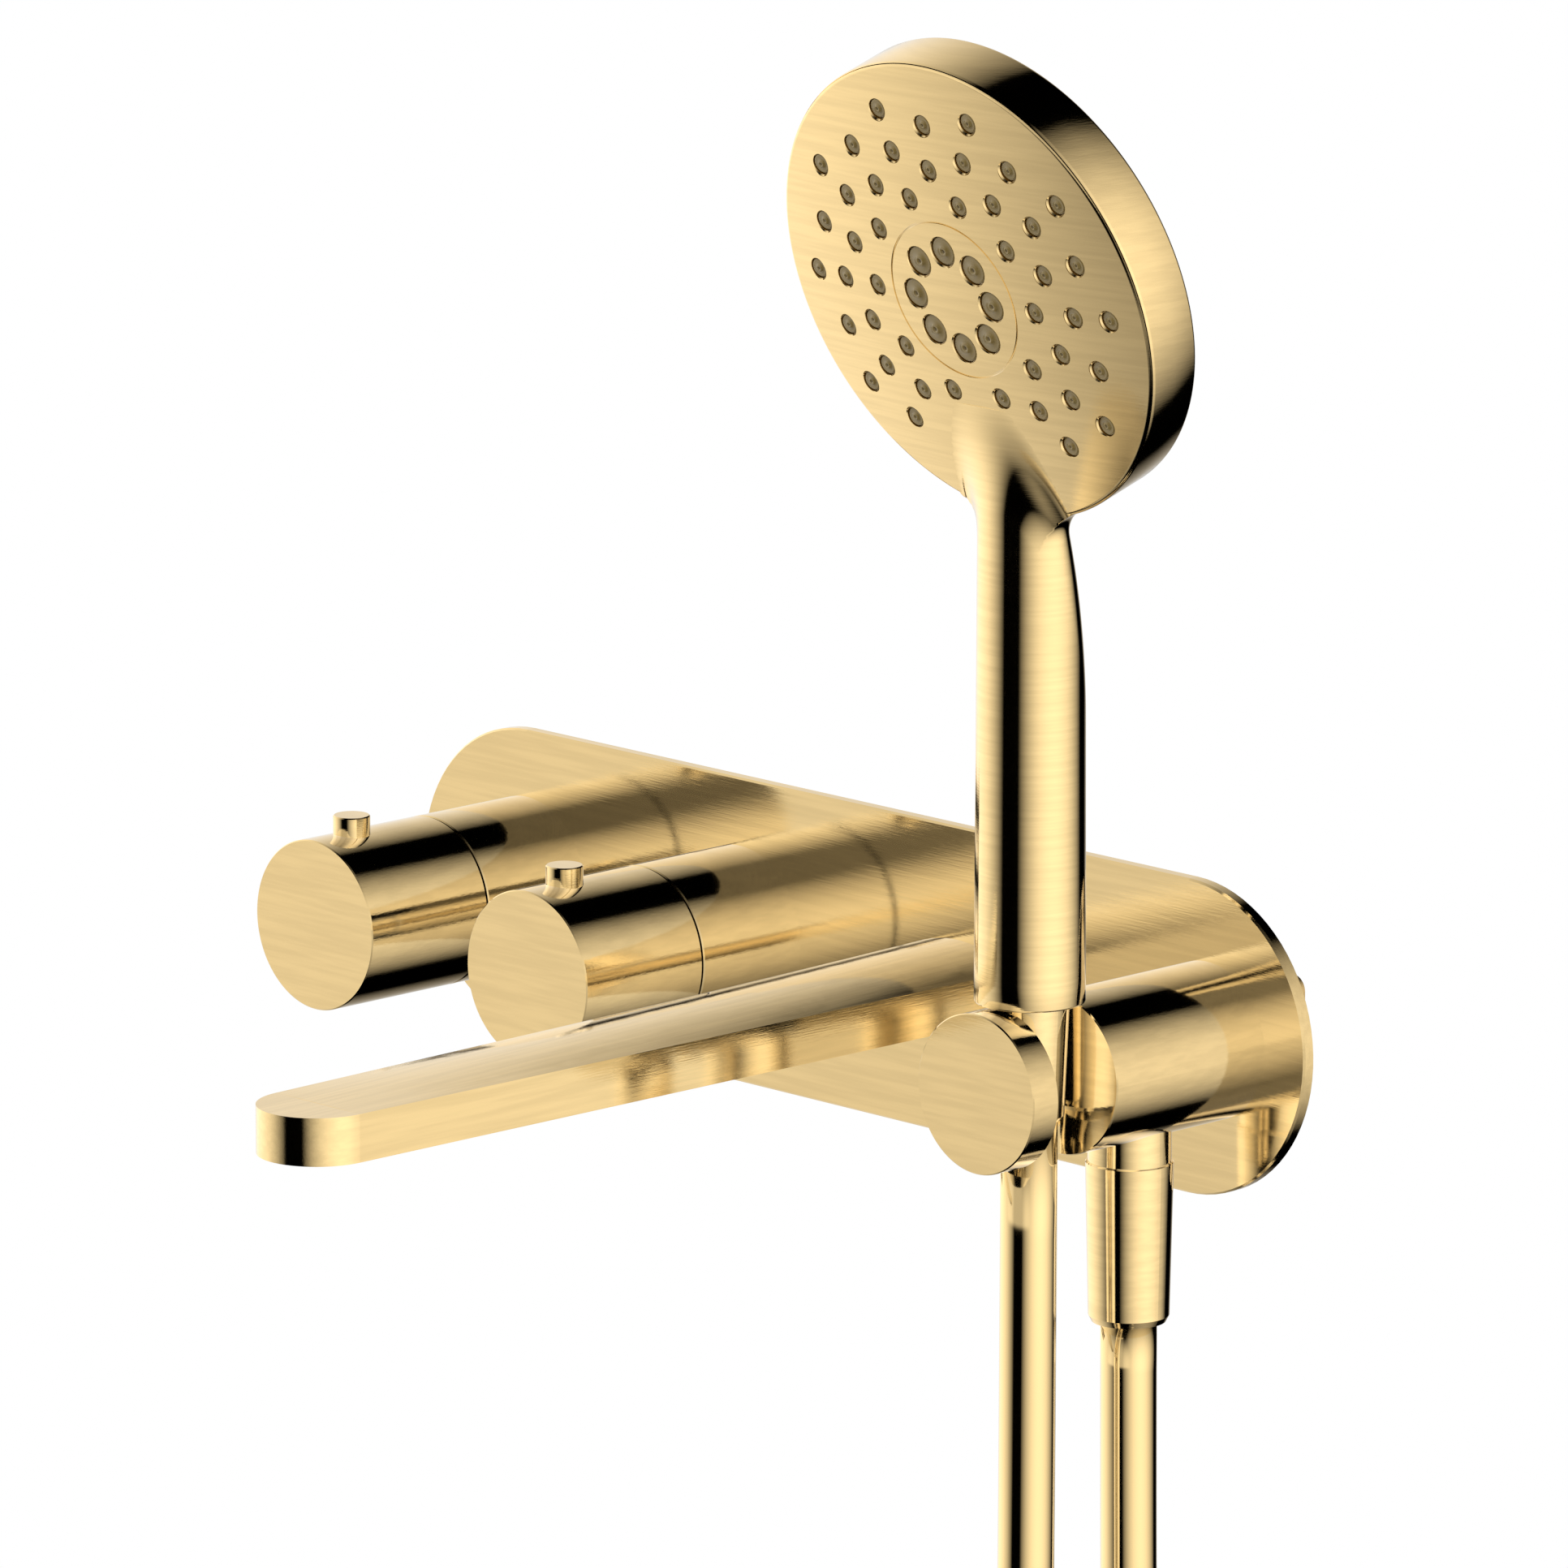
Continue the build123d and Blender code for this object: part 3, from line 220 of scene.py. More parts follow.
def brush_group():
    """Shader node group: fine brush marks that run along one direction of the object."""
    name = "brushed_marks"
    if name in bpy.data.node_groups:
        return bpy.data.node_groups[name]
    tree = bpy.data.node_groups.new(name, "ShaderNodeTree")
    face = tree.interface
    face.new_socket("Direction", in_out="INPUT", socket_type="NodeSocketVector")
    face.new_socket("Fineness", in_out="INPUT", socket_type="NodeSocketFloat")
    face.new_socket("Marks", in_out="OUTPUT", socket_type="NodeSocketFloat")
    face.new_socket("Streaks", in_out="OUTPUT", socket_type="NodeSocketFloat")
    entry = node(tree, "NodeGroupInput", -900)
    leave = node(tree, "NodeGroupOutput", 500)
    place = node(tree, "ShaderNodeTexCoord", -900, -200)
    scale = node(tree, "ShaderNodeVectorMath", -650, operation="MULTIPLY")
    wire(tree, place.outputs["Object"], scale.inputs[0])
    wire(tree, entry.outputs["Direction"], scale.inputs[1])
    fine = node(tree, "ShaderNodeTexNoise", -400, 100)
    fine.inputs["Detail"].default_value = 3
    fine.inputs["Roughness"].default_value = 0.6
    wire(tree, scale.outputs[0], fine.inputs["Vector"])
    wire(tree, entry.outputs["Fineness"], fine.inputs["Scale"])
    coarse = node(tree, "ShaderNodeTexNoise", -400, -200)
    coarse.inputs["Detail"].default_value = 2
    wire(tree, scale.outputs[0], coarse.inputs["Vector"])
    fineness = math_node(tree, "MULTIPLY", entry.outputs["Fineness"], COARSE_SHARE)
    wire(tree, fineness, coarse.inputs["Scale"])
    wire(tree, fine.outputs["Fac"], leave.inputs["Marks"])
    wire(tree, smooth_step(tree, coarse.outputs["Fac"], *STREAK_RANGE), leave.inputs["Streaks"])
    return tree


# painted reflection: a paler gold that replaces the metal's own colour wherever another plated
# surface reflects it
PAINTED_REFLECTION_GOLD = (0.97, 0.90, 0.76)


def brushed_metal(name, colour, roughness, depth, direction, fineness=110.0, tint=0.06):
    """Plated metal with brush marks along the direction whose scale is small."""
    material = bpy.data.materials.new(name)
    material.use_nodes = True
    tree = material.node_tree
    shader = tree.nodes["Principled BSDF"]
    shader.inputs["Metallic"].default_value = 1.0
    marks = node(tree, "ShaderNodeGroup", -700, 0)
    marks.node_tree = brush_group()
    marks.inputs["Direction"].default_value = direction
    marks.inputs["Fineness"].default_value = fineness
    blend = node(tree, "ShaderNodeMix", -300, 200, data_type="RGBA")
    wire(tree, marks.outputs["Streaks"], blend.inputs["Factor"])
    blend.inputs["A"].default_value = (*[c * (1 - tint) for c in colour], 1)
    blend.inputs["B"].default_value = (*[min(1, c * (1 + tint * 0.6)) for c in colour], 1)
    # painted reflection: for glossy rays the base colour turns to the painted paler gold, so that
    # gold seen in gold keeps one hue
    path = node(tree, "ShaderNodeLightPath", -500, 500)
    painted_reflection = node(tree, "ShaderNodeMix", -120, 250, data_type="RGBA")
    wire(tree, path.outputs["Is Glossy Ray"], painted_reflection.inputs["Factor"])
    wire(tree, blend.outputs["Result"], painted_reflection.inputs["A"])
    painted_reflection.inputs["B"].default_value = (*PAINTED_REFLECTION_GOLD, 1)
    wire(tree, painted_reflection.outputs["Result"], shader.inputs["Base Color"])
    rough = node(tree, "ShaderNodeMapRange", -300, -50)
    wire(tree, marks.outputs["Marks"], rough.inputs["Value"])
    rough.inputs["To Min"].default_value = roughness * 0.75
    rough.inputs["To Max"].default_value = roughness * 1.3
    wire(tree, rough.outputs["Result"], shader.inputs["Roughness"])
    bump = node(tree, "ShaderNodeBump", -300, -300)
    bump.inputs["Strength"].default_value = depth
    bump.inputs["Distance"].default_value = BRUSH_HEIGHT
    wire(tree, marks.outputs["Marks"], bump.inputs["Height"])
    wire(tree, bump.outputs["Normal"], shader.inputs["Normal"])
    return material


def grain_group():
    """Shader node group: cloudy colour change and fine speckle, for moulded and cast surfaces."""
    name = "fine_grain"
    if name in bpy.data.node_groups:
        return bpy.data.node_groups[name]
    tree = bpy.data.node_groups.new(name, "ShaderNodeTree")
    face = tree.interface
    face.new_socket("Scale", in_out="INPUT", socket_type="NodeSocketFloat")
    face.new_socket("Cloud", in_out="OUTPUT", socket_type="NodeSocketFloat")
    face.new_socket("Speckle", in_out="OUTPUT", socket_type="NodeSocketFloat")
    entry = node(tree, "NodeGroupInput", -700)
    leave = node(tree, "NodeGroupOutput", 300)
    place = node(tree, "ShaderNodeTexCoord", -700, -200)
    cloud = node(tree, "ShaderNodeTexNoise", -300, 100)
    wire(tree, place.outputs["Object"], cloud.inputs["Vector"])
    cloud.inputs["Scale"].default_value = 90
    speckle = node(tree, "ShaderNodeTexNoise", -300, -200)
    speckle.inputs["Detail"].default_value = 4
    wire(tree, place.outputs["Object"], speckle.inputs["Vector"])
    wire(tree, entry.outputs["Scale"], speckle.inputs["Scale"])
    wire(tree, cloud.outputs["Fac"], leave.inputs["Cloud"])
    wire(tree, speckle.outputs["Fac"], leave.inputs["Speckle"])
    return tree


def moulded(name, colour, roughness, metallic=0.0, scale=1500.0, bumpiness=0.15, coat=0.0):
    """Moulded plastic, rubber, ceramic or cast metal with a fine grain."""
    material = bpy.data.materials.new(name)
    material.use_nodes = True
    tree = material.node_tree
    shader = tree.nodes["Principled BSDF"]
    shader.inputs["Metallic"].default_value = metallic
    shader.inputs["Coat Weight"].default_value = coat
    grain = node(tree, "ShaderNodeGroup", -700, 0)
    grain.node_tree = grain_group()
    grain.inputs["Scale"].default_value = scale
    blend = node(tree, "ShaderNodeMix", -300, 200, data_type="RGBA")
    wire(tree, grain.outputs["Cloud"], blend.inputs["Factor"])
    blend.inputs["A"].default_value = (*[c * 0.9 for c in colour], 1)
    blend.inputs["B"].default_value = (*[min(1, c * 1.08) for c in colour], 1)
    wire(tree, blend.outputs["Result"], shader.inputs["Base Color"])
    rough = node(tree, "ShaderNodeMapRange", -300, -50)
    wire(tree, grain.outputs["Speckle"], rough.inputs["Value"])
    rough.inputs["To Min"].default_value = roughness * 0.85
    rough.inputs["To Max"].default_value = min(1, roughness * 1.15)
    wire(tree, rough.outputs["Result"], shader.inputs["Roughness"])
    bump = node(tree, "ShaderNodeBump", -300, -300)
    bump.inputs["Strength"].default_value = bumpiness
    bump.inputs["Distance"].default_value = GRAIN_HEIGHT
    wire(tree, grain.outputs["Speckle"], bump.inputs["Height"])
    wire(tree, bump.outputs["Normal"], shader.inputs["Normal"])
    return material


def finish(kind):
    """A finish by kind, made on first use."""
    name = f"faucet_{kind}"
    if name in bpy.data.materials:
        return bpy.data.materials[name]
    settings = bpy.context.scene.faucet
    gold = tuple(settings.gold)
    rough = settings.gold_roughness
    depth = settings.brush_depth
    along_x = (1.0, 24.0, 24.0)
    along_y = (24.0, 1.0, 24.0)
    if kind == "gold_plate":
        return brushed_metal(name, gold, rough, depth, along_x)
    if kind == "gold_round":
        return brushed_metal(name, gold, rough, depth, (1.5, 5.0, 24.0))
    if kind == "gold_handle":
        return brushed_metal(name, gold, rough, depth, (1.2, 1.2, 30.0))
    if kind == "gold_head":
        return brushed_metal(name, gold, rough, depth, (1.2, 3.0, 30.0))
    if kind == "gold_bar":
        return brushed_metal(name, gold, rough, depth, along_y)
    if kind == "gold_hose":
        return brushed_metal(name, gold, 0.08, 0.05, (1.0, 1.0, 1.0), 40.0, 0.03)
    if kind == "raw_brass":
        return moulded(name, (0.72, 0.50, 0.22), 0.35, 1.0, 900.0)
    if kind == "steel":
        return moulded(name, (0.60, 0.60, 0.60), 0.28, 1.0, 1200.0)
    if kind == "black_rubber":
        return moulded(name, (0.02, 0.02, 0.02), 0.6)
    # painted shade: a nearly black fill that stands in for the shade down in the gap between each
    # knob and its collar
    if kind == "painted_gap_shade":
        return moulded(name, (0.012, 0.010, 0.006), 0.5)
    if kind == "silicone":
        return moulded(name, (0.27, 0.19, 0.060), 0.30, 0.0, 1500.0, 0.05, 0.3)
    if kind == "ceramic":
        return moulded(name, (0.88, 0.87, 0.84), 0.15)
    if kind == "grey_plastic":
        return moulded(name, (0.55, 0.55, 0.53), 0.45)
    if kind == "pale_floor":
        return moulded(name, (0.90, 0.90, 0.89), 0.7, 0.0, 40.0, 0.02)
    raise RuntimeError(f"no finish is named {kind}")


FINISH_OF_NODE = {
    "gold_plate": ("wall_plate",),
    "gold_round": (
        "temperature_collar", "diverter_collar", "temperature_knob", "diverter_knob",
        "temperature_grip_pin", "diverter_grip_pin", "holder_body", "outlet_neck",
        "hose_nut_outlet", "hose_nut_handset", "aerator_housing",
    ),
    "gold_bar": ("spout",),
    "raw_brass": (
        "valve_body", "inlet_check_valves", "temperature_cartridge_nut", "diverter_cartridge_nut",
        "spout_nipple", "holder_nipple",
    ),
    "steel": (
        "inlet_filters", "spout_set_screw", "temperature_set_screw",
        "diverter_set_screw", "aerator_screen", "hose_ferrule_outlet", "hose_ferrule_handset",
        "temperature_spindle", "diverter_spindle",
    ),
    "black_rubber": (
        "plate_gasket", "temperature_spindle_seal", "diverter_spindle_seal", "spout_o_ring",
        "holder_o_ring", "aerator_washer", "outlet_washer", "handset_washer",
    ),
    "ceramic": (
        "temperature_fixed_disc", "diverter_fixed_disc", "temperature_moving_disc",
        "diverter_moving_disc",
    ),
    "grey_plastic": (
        "temperature_cartridge", "diverter_cartridge", "outlet_check_valve", "water_distributor",
        "handset_inlet_insert", "flow_regulator",
    ),
    # painted shade on the bearing rings: a nearly black fill for the shade in the gap between
    # knob and collar
    "painted_gap_shade": ("temperature_bearing_ring", "diverter_bearing_ring"),
}


# ---------------------------------------------------------------- mesh helpers
def new_piece(name, mesh_maker, body, material, smooth=True):
    """Object at the origin whose mesh a maker builds, riding on a body."""
    mesh = bpy.data.meshes.new(name)
    shape = bmesh.new()
    mesh_maker(shape)
    shape.to_mesh(mesh)
    shape.free()
    mesh.materials.append(material)
    mesh.polygons.foreach_set("use_smooth", [smooth] * len(mesh.polygons))
    piece = bpy.data.objects.new(name, mesh)
    bpy.context.scene.collection.objects.link(piece)
    if body:
        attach(piece, body)
    return piece


def turn_profile(shape, outline, matrix, steps):
    """Spin an open outline of (radius, height) about Z, then place it with the matrix."""
    points = [shape.verts.new((radius, 0, height)) for radius, height in outline]
    edges = [shape.edges.new(pair) for pair in zip(points, points[1:])]
    bmesh.ops.spin(
        shape, geom=points + edges, cent=(0, 0, 0), axis=(0, 0, 1),
        angle=2 * math.pi, steps=steps, use_merge=True, use_duplicate=False)
    bmesh.ops.remove_doubles(shape, verts=shape.verts, dist=1e-7)
    bmesh.ops.recalc_face_normals(shape, faces=shape.faces)
    bmesh.ops.transform(shape, matrix=matrix, verts=shape.verts)


def add_turned(shape, outline, matrix, steps):
    """Add a closed turned solid to the shape."""
    solid = bmesh.new()
    turn_profile(solid, outline, matrix, steps)
    mesh = bpy.data.meshes.new("turned")
    solid.to_mesh(mesh)
    solid.free()
    shape.from_mesh(mesh)
    bpy.data.meshes.remove(mesh)


def skin_rings(shape, rings):
    """Closed skin over a row of rings that have the same number of points."""
    sides = len(rings[0])
    for first, second in zip(rings, rings[1:]):
        for index in range(sides):
            following = (index + 1) % sides
            corners = (first[index], first[following], second[following], second[index])
            shape.faces.new(corners)
    shape.faces.new(list(reversed(rings[0])))
    shape.faces.new(rings[-1])


def head_matrix(radius=0.0, angle=0.0):
    """Place in the apex plane of the spray face, whose local Z points out of the face."""
    centre = (
        FACE_APEX
        + FACE_RIGHT * (radius * math.cos(angle))
        + FACE_UP * (radius * math.sin(angle))
    )
    rotation = Matrix((FACE_RIGHT, FACE_UP, FACE_OUT)).transposed().to_4x4()
    return Matrix.Translation(centre) @ rotation


def dome_drop(radius):
    """How far the domed face lies behind its apex at a radius."""
    sphere = bpy.context.scene.faucet.face_dome
    return sphere - math.sqrt(sphere * sphere - radius * radius)


# ---------------------------------------------------------------- stage
CAMERA_AZIMUTH = math.radians(45.95)
CAMERA_ELEVATION = math.radians(12.52)
CAMERA_DISTANCE = 3.347
CAMERA_LENS = 302.3
TARGET_RIGHT = -0.0188
TARGET_UP = 0.0432
CAMERA_SENSOR = 36.0

# the room of light, by parts of the direction that a reflection looks in
WALL_START = 0.25
WALL_BRIGHTNESS = 1.38
RIGHT_WALL_LEAN = 0.07
LOW_RANGE = (0.1, 0.6)
BEHIND_RANGE = (0.2, 0.6)
LEFT_WALL_FADE = -0.45
FRONT_RANGE = (0.55, 0.95)
FRONT_ABOVE = (-0.12, -0.03)
FRONT_BELOW = (0.50, 0.70)
FRONT_BRIGHTNESS = 0.6

KEY_LIGHT_SIZE = 1.6
KEY_LIGHT_PLACE = (-1.6, -1.8, 1.9)
KEY_LIGHT_TURN = math.radians(-42)
KEY_LIGHT_TILT = math.radians(52)
FLOOR_CENTRE = (0.05, -0.05)
FLOOR_GAP = 0.01
FLOOR_RADIUS = 0.55
FLOOR_SIDES = 96


def camera_axes():
    """Right, up and ahead of the camera."""
    right = Vector((math.cos(CAMERA_AZIMUTH), math.sin(CAMERA_AZIMUTH), 0))
    ahead = Vector((
        -math.sin(CAMERA_AZIMUTH) * math.cos(CAMERA_ELEVATION),
        math.cos(CAMERA_AZIMUTH) * math.cos(CAMERA_ELEVATION),
        -math.sin(CAMERA_ELEVATION),
    ))
    return right, right.cross(ahead), ahead


def make_camera():
    right, up, ahead = camera_axes()
    data = bpy.data.cameras.new("camera")
    data.lens = CAMERA_LENS
    data.sensor_width = CAMERA_SENSOR
    data.clip_start = 0.1
    data.clip_end = 50.0
    data.dof.use_dof = False
    camera = bpy.data.objects.new("camera", data)
    target = right * TARGET_RIGHT + up * TARGET_UP
    rotation = Matrix((right, up, -ahead)).transposed().to_4x4()
    camera.matrix_world = Matrix.Translation(target - ahead * CAMERA_DISTANCE) @ rotation
    bpy.context.scene.collection.objects.link(camera)
    bpy.context.scene.camera = camera


def make_world():
    """White to the camera; to reflections, a wall of light on either side and a dim front."""
    world = bpy.data.worlds.new("studio")
    bpy.context.scene.world = world
    world.use_nodes = True
    tree = world.node_tree
    tree.nodes.clear()
    output = node(tree, "ShaderNodeOutputWorld", 900)
    place = node(tree, "ShaderNodeTexCoord", -1200)
    parts = node(tree, "ShaderNodeSeparateXYZ", -1000)
    wire(tree, place.outputs["Generated"], parts.inputs[0])
    x, y, z = parts.outputs
    backward = math_node(tree, "MULTIPLY", y, RIGHT_WALL_LEAN)
    right_side = math_node(tree, "ADD", x, backward)
    left_side = math_node(tree, "MULTIPLY", x, -1.0)
    walls = []
    for side in (right_side, left_side):
        ramp = node(tree, "ShaderNodeMapRange", -300, interpolation_type="LINEAR", clamp=True)
        wire(tree, side, ramp.inputs["Value"])
        ramp.inputs["From Min"].default_value = WALL_START
        ramp.inputs["From Max"].default_value = 1.0
        ramp.inputs["To Min"].default_value = 0.0
        ramp.inputs["To Max"].default_value = WALL_BRIGHTNESS
        walls.append(ramp.outputs["Result"])
    # the left wall fades where reflections look down and towards the back
    low = smooth_step(tree, math_node(tree, "MULTIPLY", z, -1.0), *LOW_RANGE)
    behind = smooth_step(tree, y, *BEHIND_RANGE)
    fade = math_node(tree, "MULTIPLY", math_node(tree, "MULTIPLY", low, behind), LEFT_WALL_FADE)
    left = math_node(tree, "MULTIPLY", walls[1], math_node(tree, "ADD", fade, 1.0))
    # the front is dim, but for a black band where reflections look a little down
    front = smooth_step(tree, math_node(tree, "MULTIPLY", y, -1.0), *FRONT_RANGE)
    above = smooth_step(tree, z, *FRONT_ABOVE)
    below = smooth_step(tree, math_node(tree, "MULTIPLY", z, -1.0), *FRONT_BELOW)
    front = math_node(tree, "MULTIPLY", front, math_node(tree, "ADD", above, below))
    light = math_node(tree, "ADD", walls[0], left)
    light = math_node(tree, "ADD", light, math_node(tree, "MULTIPLY", front, FRONT_BRIGHTNESS))
    room = node(tree, "ShaderNodeBackground", 500, 100)
    wire(tree, light, room.inputs["Strength"])
    room.inputs["Color"].default_value = (1, 1, 1, 1)
    white = node(tree, "ShaderNodeBackground", 500, -100)
    white.inputs["Color"].default_value = (1, 1, 1, 1)
    white.inputs["Strength"].default_value = 1.0
    path = node(tree, "ShaderNodeLightPath", 500, 400)
    mix = node(tree, "ShaderNodeMixShader", 700)
    wire(tree, path.outputs["Is Camera Ray"], mix.inputs["Fac"])
    wire(tree, room.outputs[0], mix.inputs[1])
    wire(tree, white.outputs[0], mix.inputs[2])
    wire(tree, mix.outputs[0], output.inputs["Surface"])


class FAUCET_OT_stage(bpy.types.Operator):
    """Make the camera, the room of light and the pale floor"""

    bl_idname = "faucet.stage"
    bl_label = "Stage"

    def execute(self, context):
        make_camera()
        make_world()
        context.scene.view_settings.view_transform = "Standard"
        settings = context.scene.faucet
        data = bpy.data.lights.new("key_light", "AREA")
        data.energy = settings.key_light
        data.size = KEY_LIGHT_SIZE
        key = bpy.data.objects.new("key_light", data)
        turn = Matrix.Rotation(KEY_LIGHT_TURN, 4, "Z")
        tilt = Matrix.Rotation(KEY_LIGHT_TILT, 4, "X")
        key.matrix_world = Matrix.Translation(KEY_LIGHT_PLACE) @ turn @ tilt
        key.visible_glossy = False
        context.scene.collection.objects.link(key)
        if settings.show_floor:
            mesh = bpy.data.meshes.new("floor")
            shape = bmesh.new()
            place = Matrix.Translation((*FLOOR_CENTRE, CAD_BOX[0][2] - FLOOR_GAP))
            bmesh.ops.create_circle(
                shape, cap_ends=True, radius=FLOOR_RADIUS, segments=FLOOR_SIDES, matrix=place)
            shape.to_mesh(mesh)
            shape.free()
            floor = bpy.data.objects.new("floor", mesh)
            mesh.materials.append(finish("pale_floor"))
            context.scene.collection.objects.link(floor)
            floor.visible_glossy = False
        return {"FINISHED"}


# ---------------------------------------------------------------- hose
def coil_points():
    """Control points of the coil's turns, from the end of the rear run round to the front run."""
    rear = Vector(REAR_ROUTE[-1])
    front = Vector(FRONT_ROUTE[0])
    start = math.atan2(rear.z - COIL_Z, rear.x - HANDLE_X)
    sweep = math.pi + 2 * start + 2 * math.pi * COIL_TURNS
    step = 2 * math.pi / COIL_POINTS_PER_TURN
    outer = COIL_RADIUS / math.cos(step / 2)
    count = int(sweep / step)
    points = []
    for index in range(count):
        turned = step * (index + 0.5)
        share = turned / sweep
        angle = start - turned
        points.append((
            HANDLE_X + outer * math.cos(angle),
            rear.y + (front.y - rear.y) * share,
            COIL_Z + outer * math.sin(angle),
        ))
    return points


def spline_points(points, resolution):
    """Points along the smooth line that the control points give."""
    curve = bpy.data.curves.new("hose_line", "CURVE")
    curve.dimensions = "3D"
    curve.resolution_u = resolution
    spline = curve.splines.new("NURBS")
    spline.points.add(len(points) - 1)
    for point, place in zip(spline.points, points):
        point.co = (*place, 1)
    spline.order_u = 3
    spline.use_endpoint_u = True
    holder = bpy.data.objects.new("hose_line", curve)
    bpy.context.scene.collection.objects.link(holder)
    bpy.context.view_layer.update()
    line = bpy.data.meshes.new_from_object(holder)
    places = [vertex.co.copy() for vertex in line.vertices]
    bpy.data.objects.remove(holder)
    bpy.data.curves.remove(curve)
    bpy.data.meshes.remove(line)
    return places


def tube(shape, line, radius, sides):
    """Closed tube along a line, with one circle of points for each point of the line."""
    direction = (line[1] - line[0]).normalized()
    side = direction.orthogonal().normalized()
    rings = []
    for index, place in enumerate(line):
        after = line[min(index + 1, len(line) - 1)]
        before = line[max(index - 1, 0)]
        ahead = (after - before).normalized()
        side = (side - ahead * side.dot(ahead)).normalized()
        across = ahead.cross(side)
        turn = Matrix((side, across, ahead)).transposed().to_4x4()
        made = bmesh.ops.create_circle(
            shape, cap_ends=False, radius=radius, segments=sides,
            matrix=Matrix.Translation(place) @ turn)
        rings.append(made["verts"])
    skin_rings(shape, rings)


class FAUCET_OT_hose(bpy.types.Operator):
    """Make the shower hose: two runs and the coil between them, held by a strap"""

    bl_idname = "faucet.hose"
    bl_label = "Hose"

    def execute(self, context):
        settings = context.scene.faucet
        points = list(REAR_ROUTE) + coil_points() + list(FRONT_ROUTE)
        line = spline_points(points, HOSE_LINE_RESOLUTION)
        hose = new_piece(
            "shower_hose",
            lambda shape: tube(shape, line, settings.hose_radius, settings.hose_sides),
            None, finish("gold_hose"))
        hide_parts("hose_run_rear", "hose_run_front", "hose_coil")
        tie = self.make_tie()
        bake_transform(hose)
        return {"FINISHED"}

    def make_tie(self):
        """Strap round the coil's turns, open along the hose."""
        low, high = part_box("hose_tie")

        def strap(shape):
            bmesh.ops.create_cube(shape, size=1.0)
            size = high - low
            bmesh.ops.scale(shape, vec=(size.x, size.y, size.z), verts=shape.verts)
            bmesh.ops.translate(shape, vec=(low + high) / 2, verts=shape.verts)
            sides = [face for face in shape.faces if abs(face.normal.x) > 0.9]
            bmesh.ops.delete(shape, geom=sides, context="FACES_ONLY")
            along = [
                edge for edge in shape.edges
                if abs((edge.verts[0].co - edge.verts[1].co).x) > 1e-4]
            bmesh.ops.bevel(
                shape, geom=along, offset=STRAP_CORNER, offset_type="OFFSET",
                segments=STRAP_CORNER_STEPS, profile=0.5, affect="EDGES", material=-1)
            bmesh.ops.recalc_face_normals(shape, faces=shape.faces)
            bmesh.ops.solidify(shape, geom=shape.faces[:], thickness=STRAP_THICKNESS)

        tie = new_piece("hose_strap", strap, "wall_unit", finish("black_rubber"), False)
        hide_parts("hose_tie")
        return tie


# ---------------------------------------------------------------- finishes on the CAD pieces
class FAUCET_OT_finishes(bpy.types.Operator):
    """Give every CAD piece its finish"""

    bl_idname = "faucet.finishes"
    bl_label = "Finishes"

    def execute(self, context):
        for name, pieces in FINISH_OF_NODE.items():
            for piece in pieces:
                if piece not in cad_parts:
                    raise RuntimeError(f"the frame has no piece named {piece}")
                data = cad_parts[piece].data
                data.materials.clear()
                data.materials.append(finish(name))
        return {"FINISHED"}


# ---------------------------------------------------------------- hand shower
HANDLE_RADIUS_LOW = 0.0137
HANDLE_RADIUS_TOP = 0.0132
TAPER_TOP = 0.135
NECK_START = 0.090
NECK_TOP = 0.170
NECK_RINGS = 120
NECK_BLEND = 0.007
NECK_BLEND_SHORT = 0.0006
NECK_SEARCH = (0.002, 0.034)
NECK_HALVINGS = 22
SKIN_STEP = 0.00002
SINK_SLOPE = 0.6
SINK_DEPTH = 0.0035
BACK_BLEND = 0.010
HANDLE_END = 0.0075
HANDLE_RINGS = 12
HANDLE_SIDES = 128
FOOT_CHAMFER = 0.0006
RIM_ROUNDING = 0.0014
ROUNDING_STEPS = 8
BACK_ROUNDING = 0.0010
BACK_ROUNDING_STEPS = 4
RIM_SEAM_STEP = 4
CENTRE_DISC_RADIUS = 0.0204
CENTRE_DISC_STEP = 0.002
CENTRE_DISC_STEPS = 10
FACE_START = 0.0215
FACE_STEP = 0.0021
FACE_STEPS = 18
BACK_RADII = (0.045, 0.030, 0.015, 0.0)
HEAD_SIDES = 192
SEAM_WIDTH = 0.0005
SEAM_DEPTH = 0.0006
HOLE_DEPTH = 0.0024
HOLE_CHAMFER = 0.00030
HOLE_CHAMFER_LOW = 0.00035
HOLE_CHAMFER_HIGH = 0.00012
HOLE_CUT_HIGH = 0.003
HOLE_SIDES = 28
NUB_GAP = 0.00012
NUB_LIFT = 0.0001
NUB_SHOULDER = 0.00095
NUB_ROUNDING = 0.0007
NUB_ROUNDING_STEPS = 5
NUB_TIP_SHARE = 0.34
NUB_SIDES = 20
DOME_SHARP_ANGLE = math.radians(32)
DOME_TOLERANCE = 0.00003
DOME_FACING = 0.995
NECK_SHARP_ANGLE = math.radians(50)
NECK_TOLERANCE = 0.00005


def handle_radius(height):
    """Radius of the handle's gentle taper at a height."""
    share = min(max((height - HANDLE_BOTTOM) / (TAPER_TOP - HANDLE_BOTTOM), 0.0), 1.0)
    return HANDLE_RADIUS_LOW + (HANDLE_RADIUS_TOP - HANDLE_RADIUS_LOW) * share


def smooth_union(first, second, width):
    """Smaller of two distances, rounded where they meet."""
    share = max(width - abs(first - second), 0.0) / width
    return min(first, second) - share * share * width * 0.25


def head_distance(place, settings):
    """Distance to the head, a thick disc with a domed front."""
    offset = place - FACE_APEX
    depth = -offset.dot(FACE_OUT)
    radius = math.hypot(offset.dot(FACE_RIGHT), offset.dot(FACE_UP))
    front = math.hypot(radius, depth - settings.face_dome) - settings.face_dome
    return max(radius - settings.head_radius, front, depth - settings.head_depth)


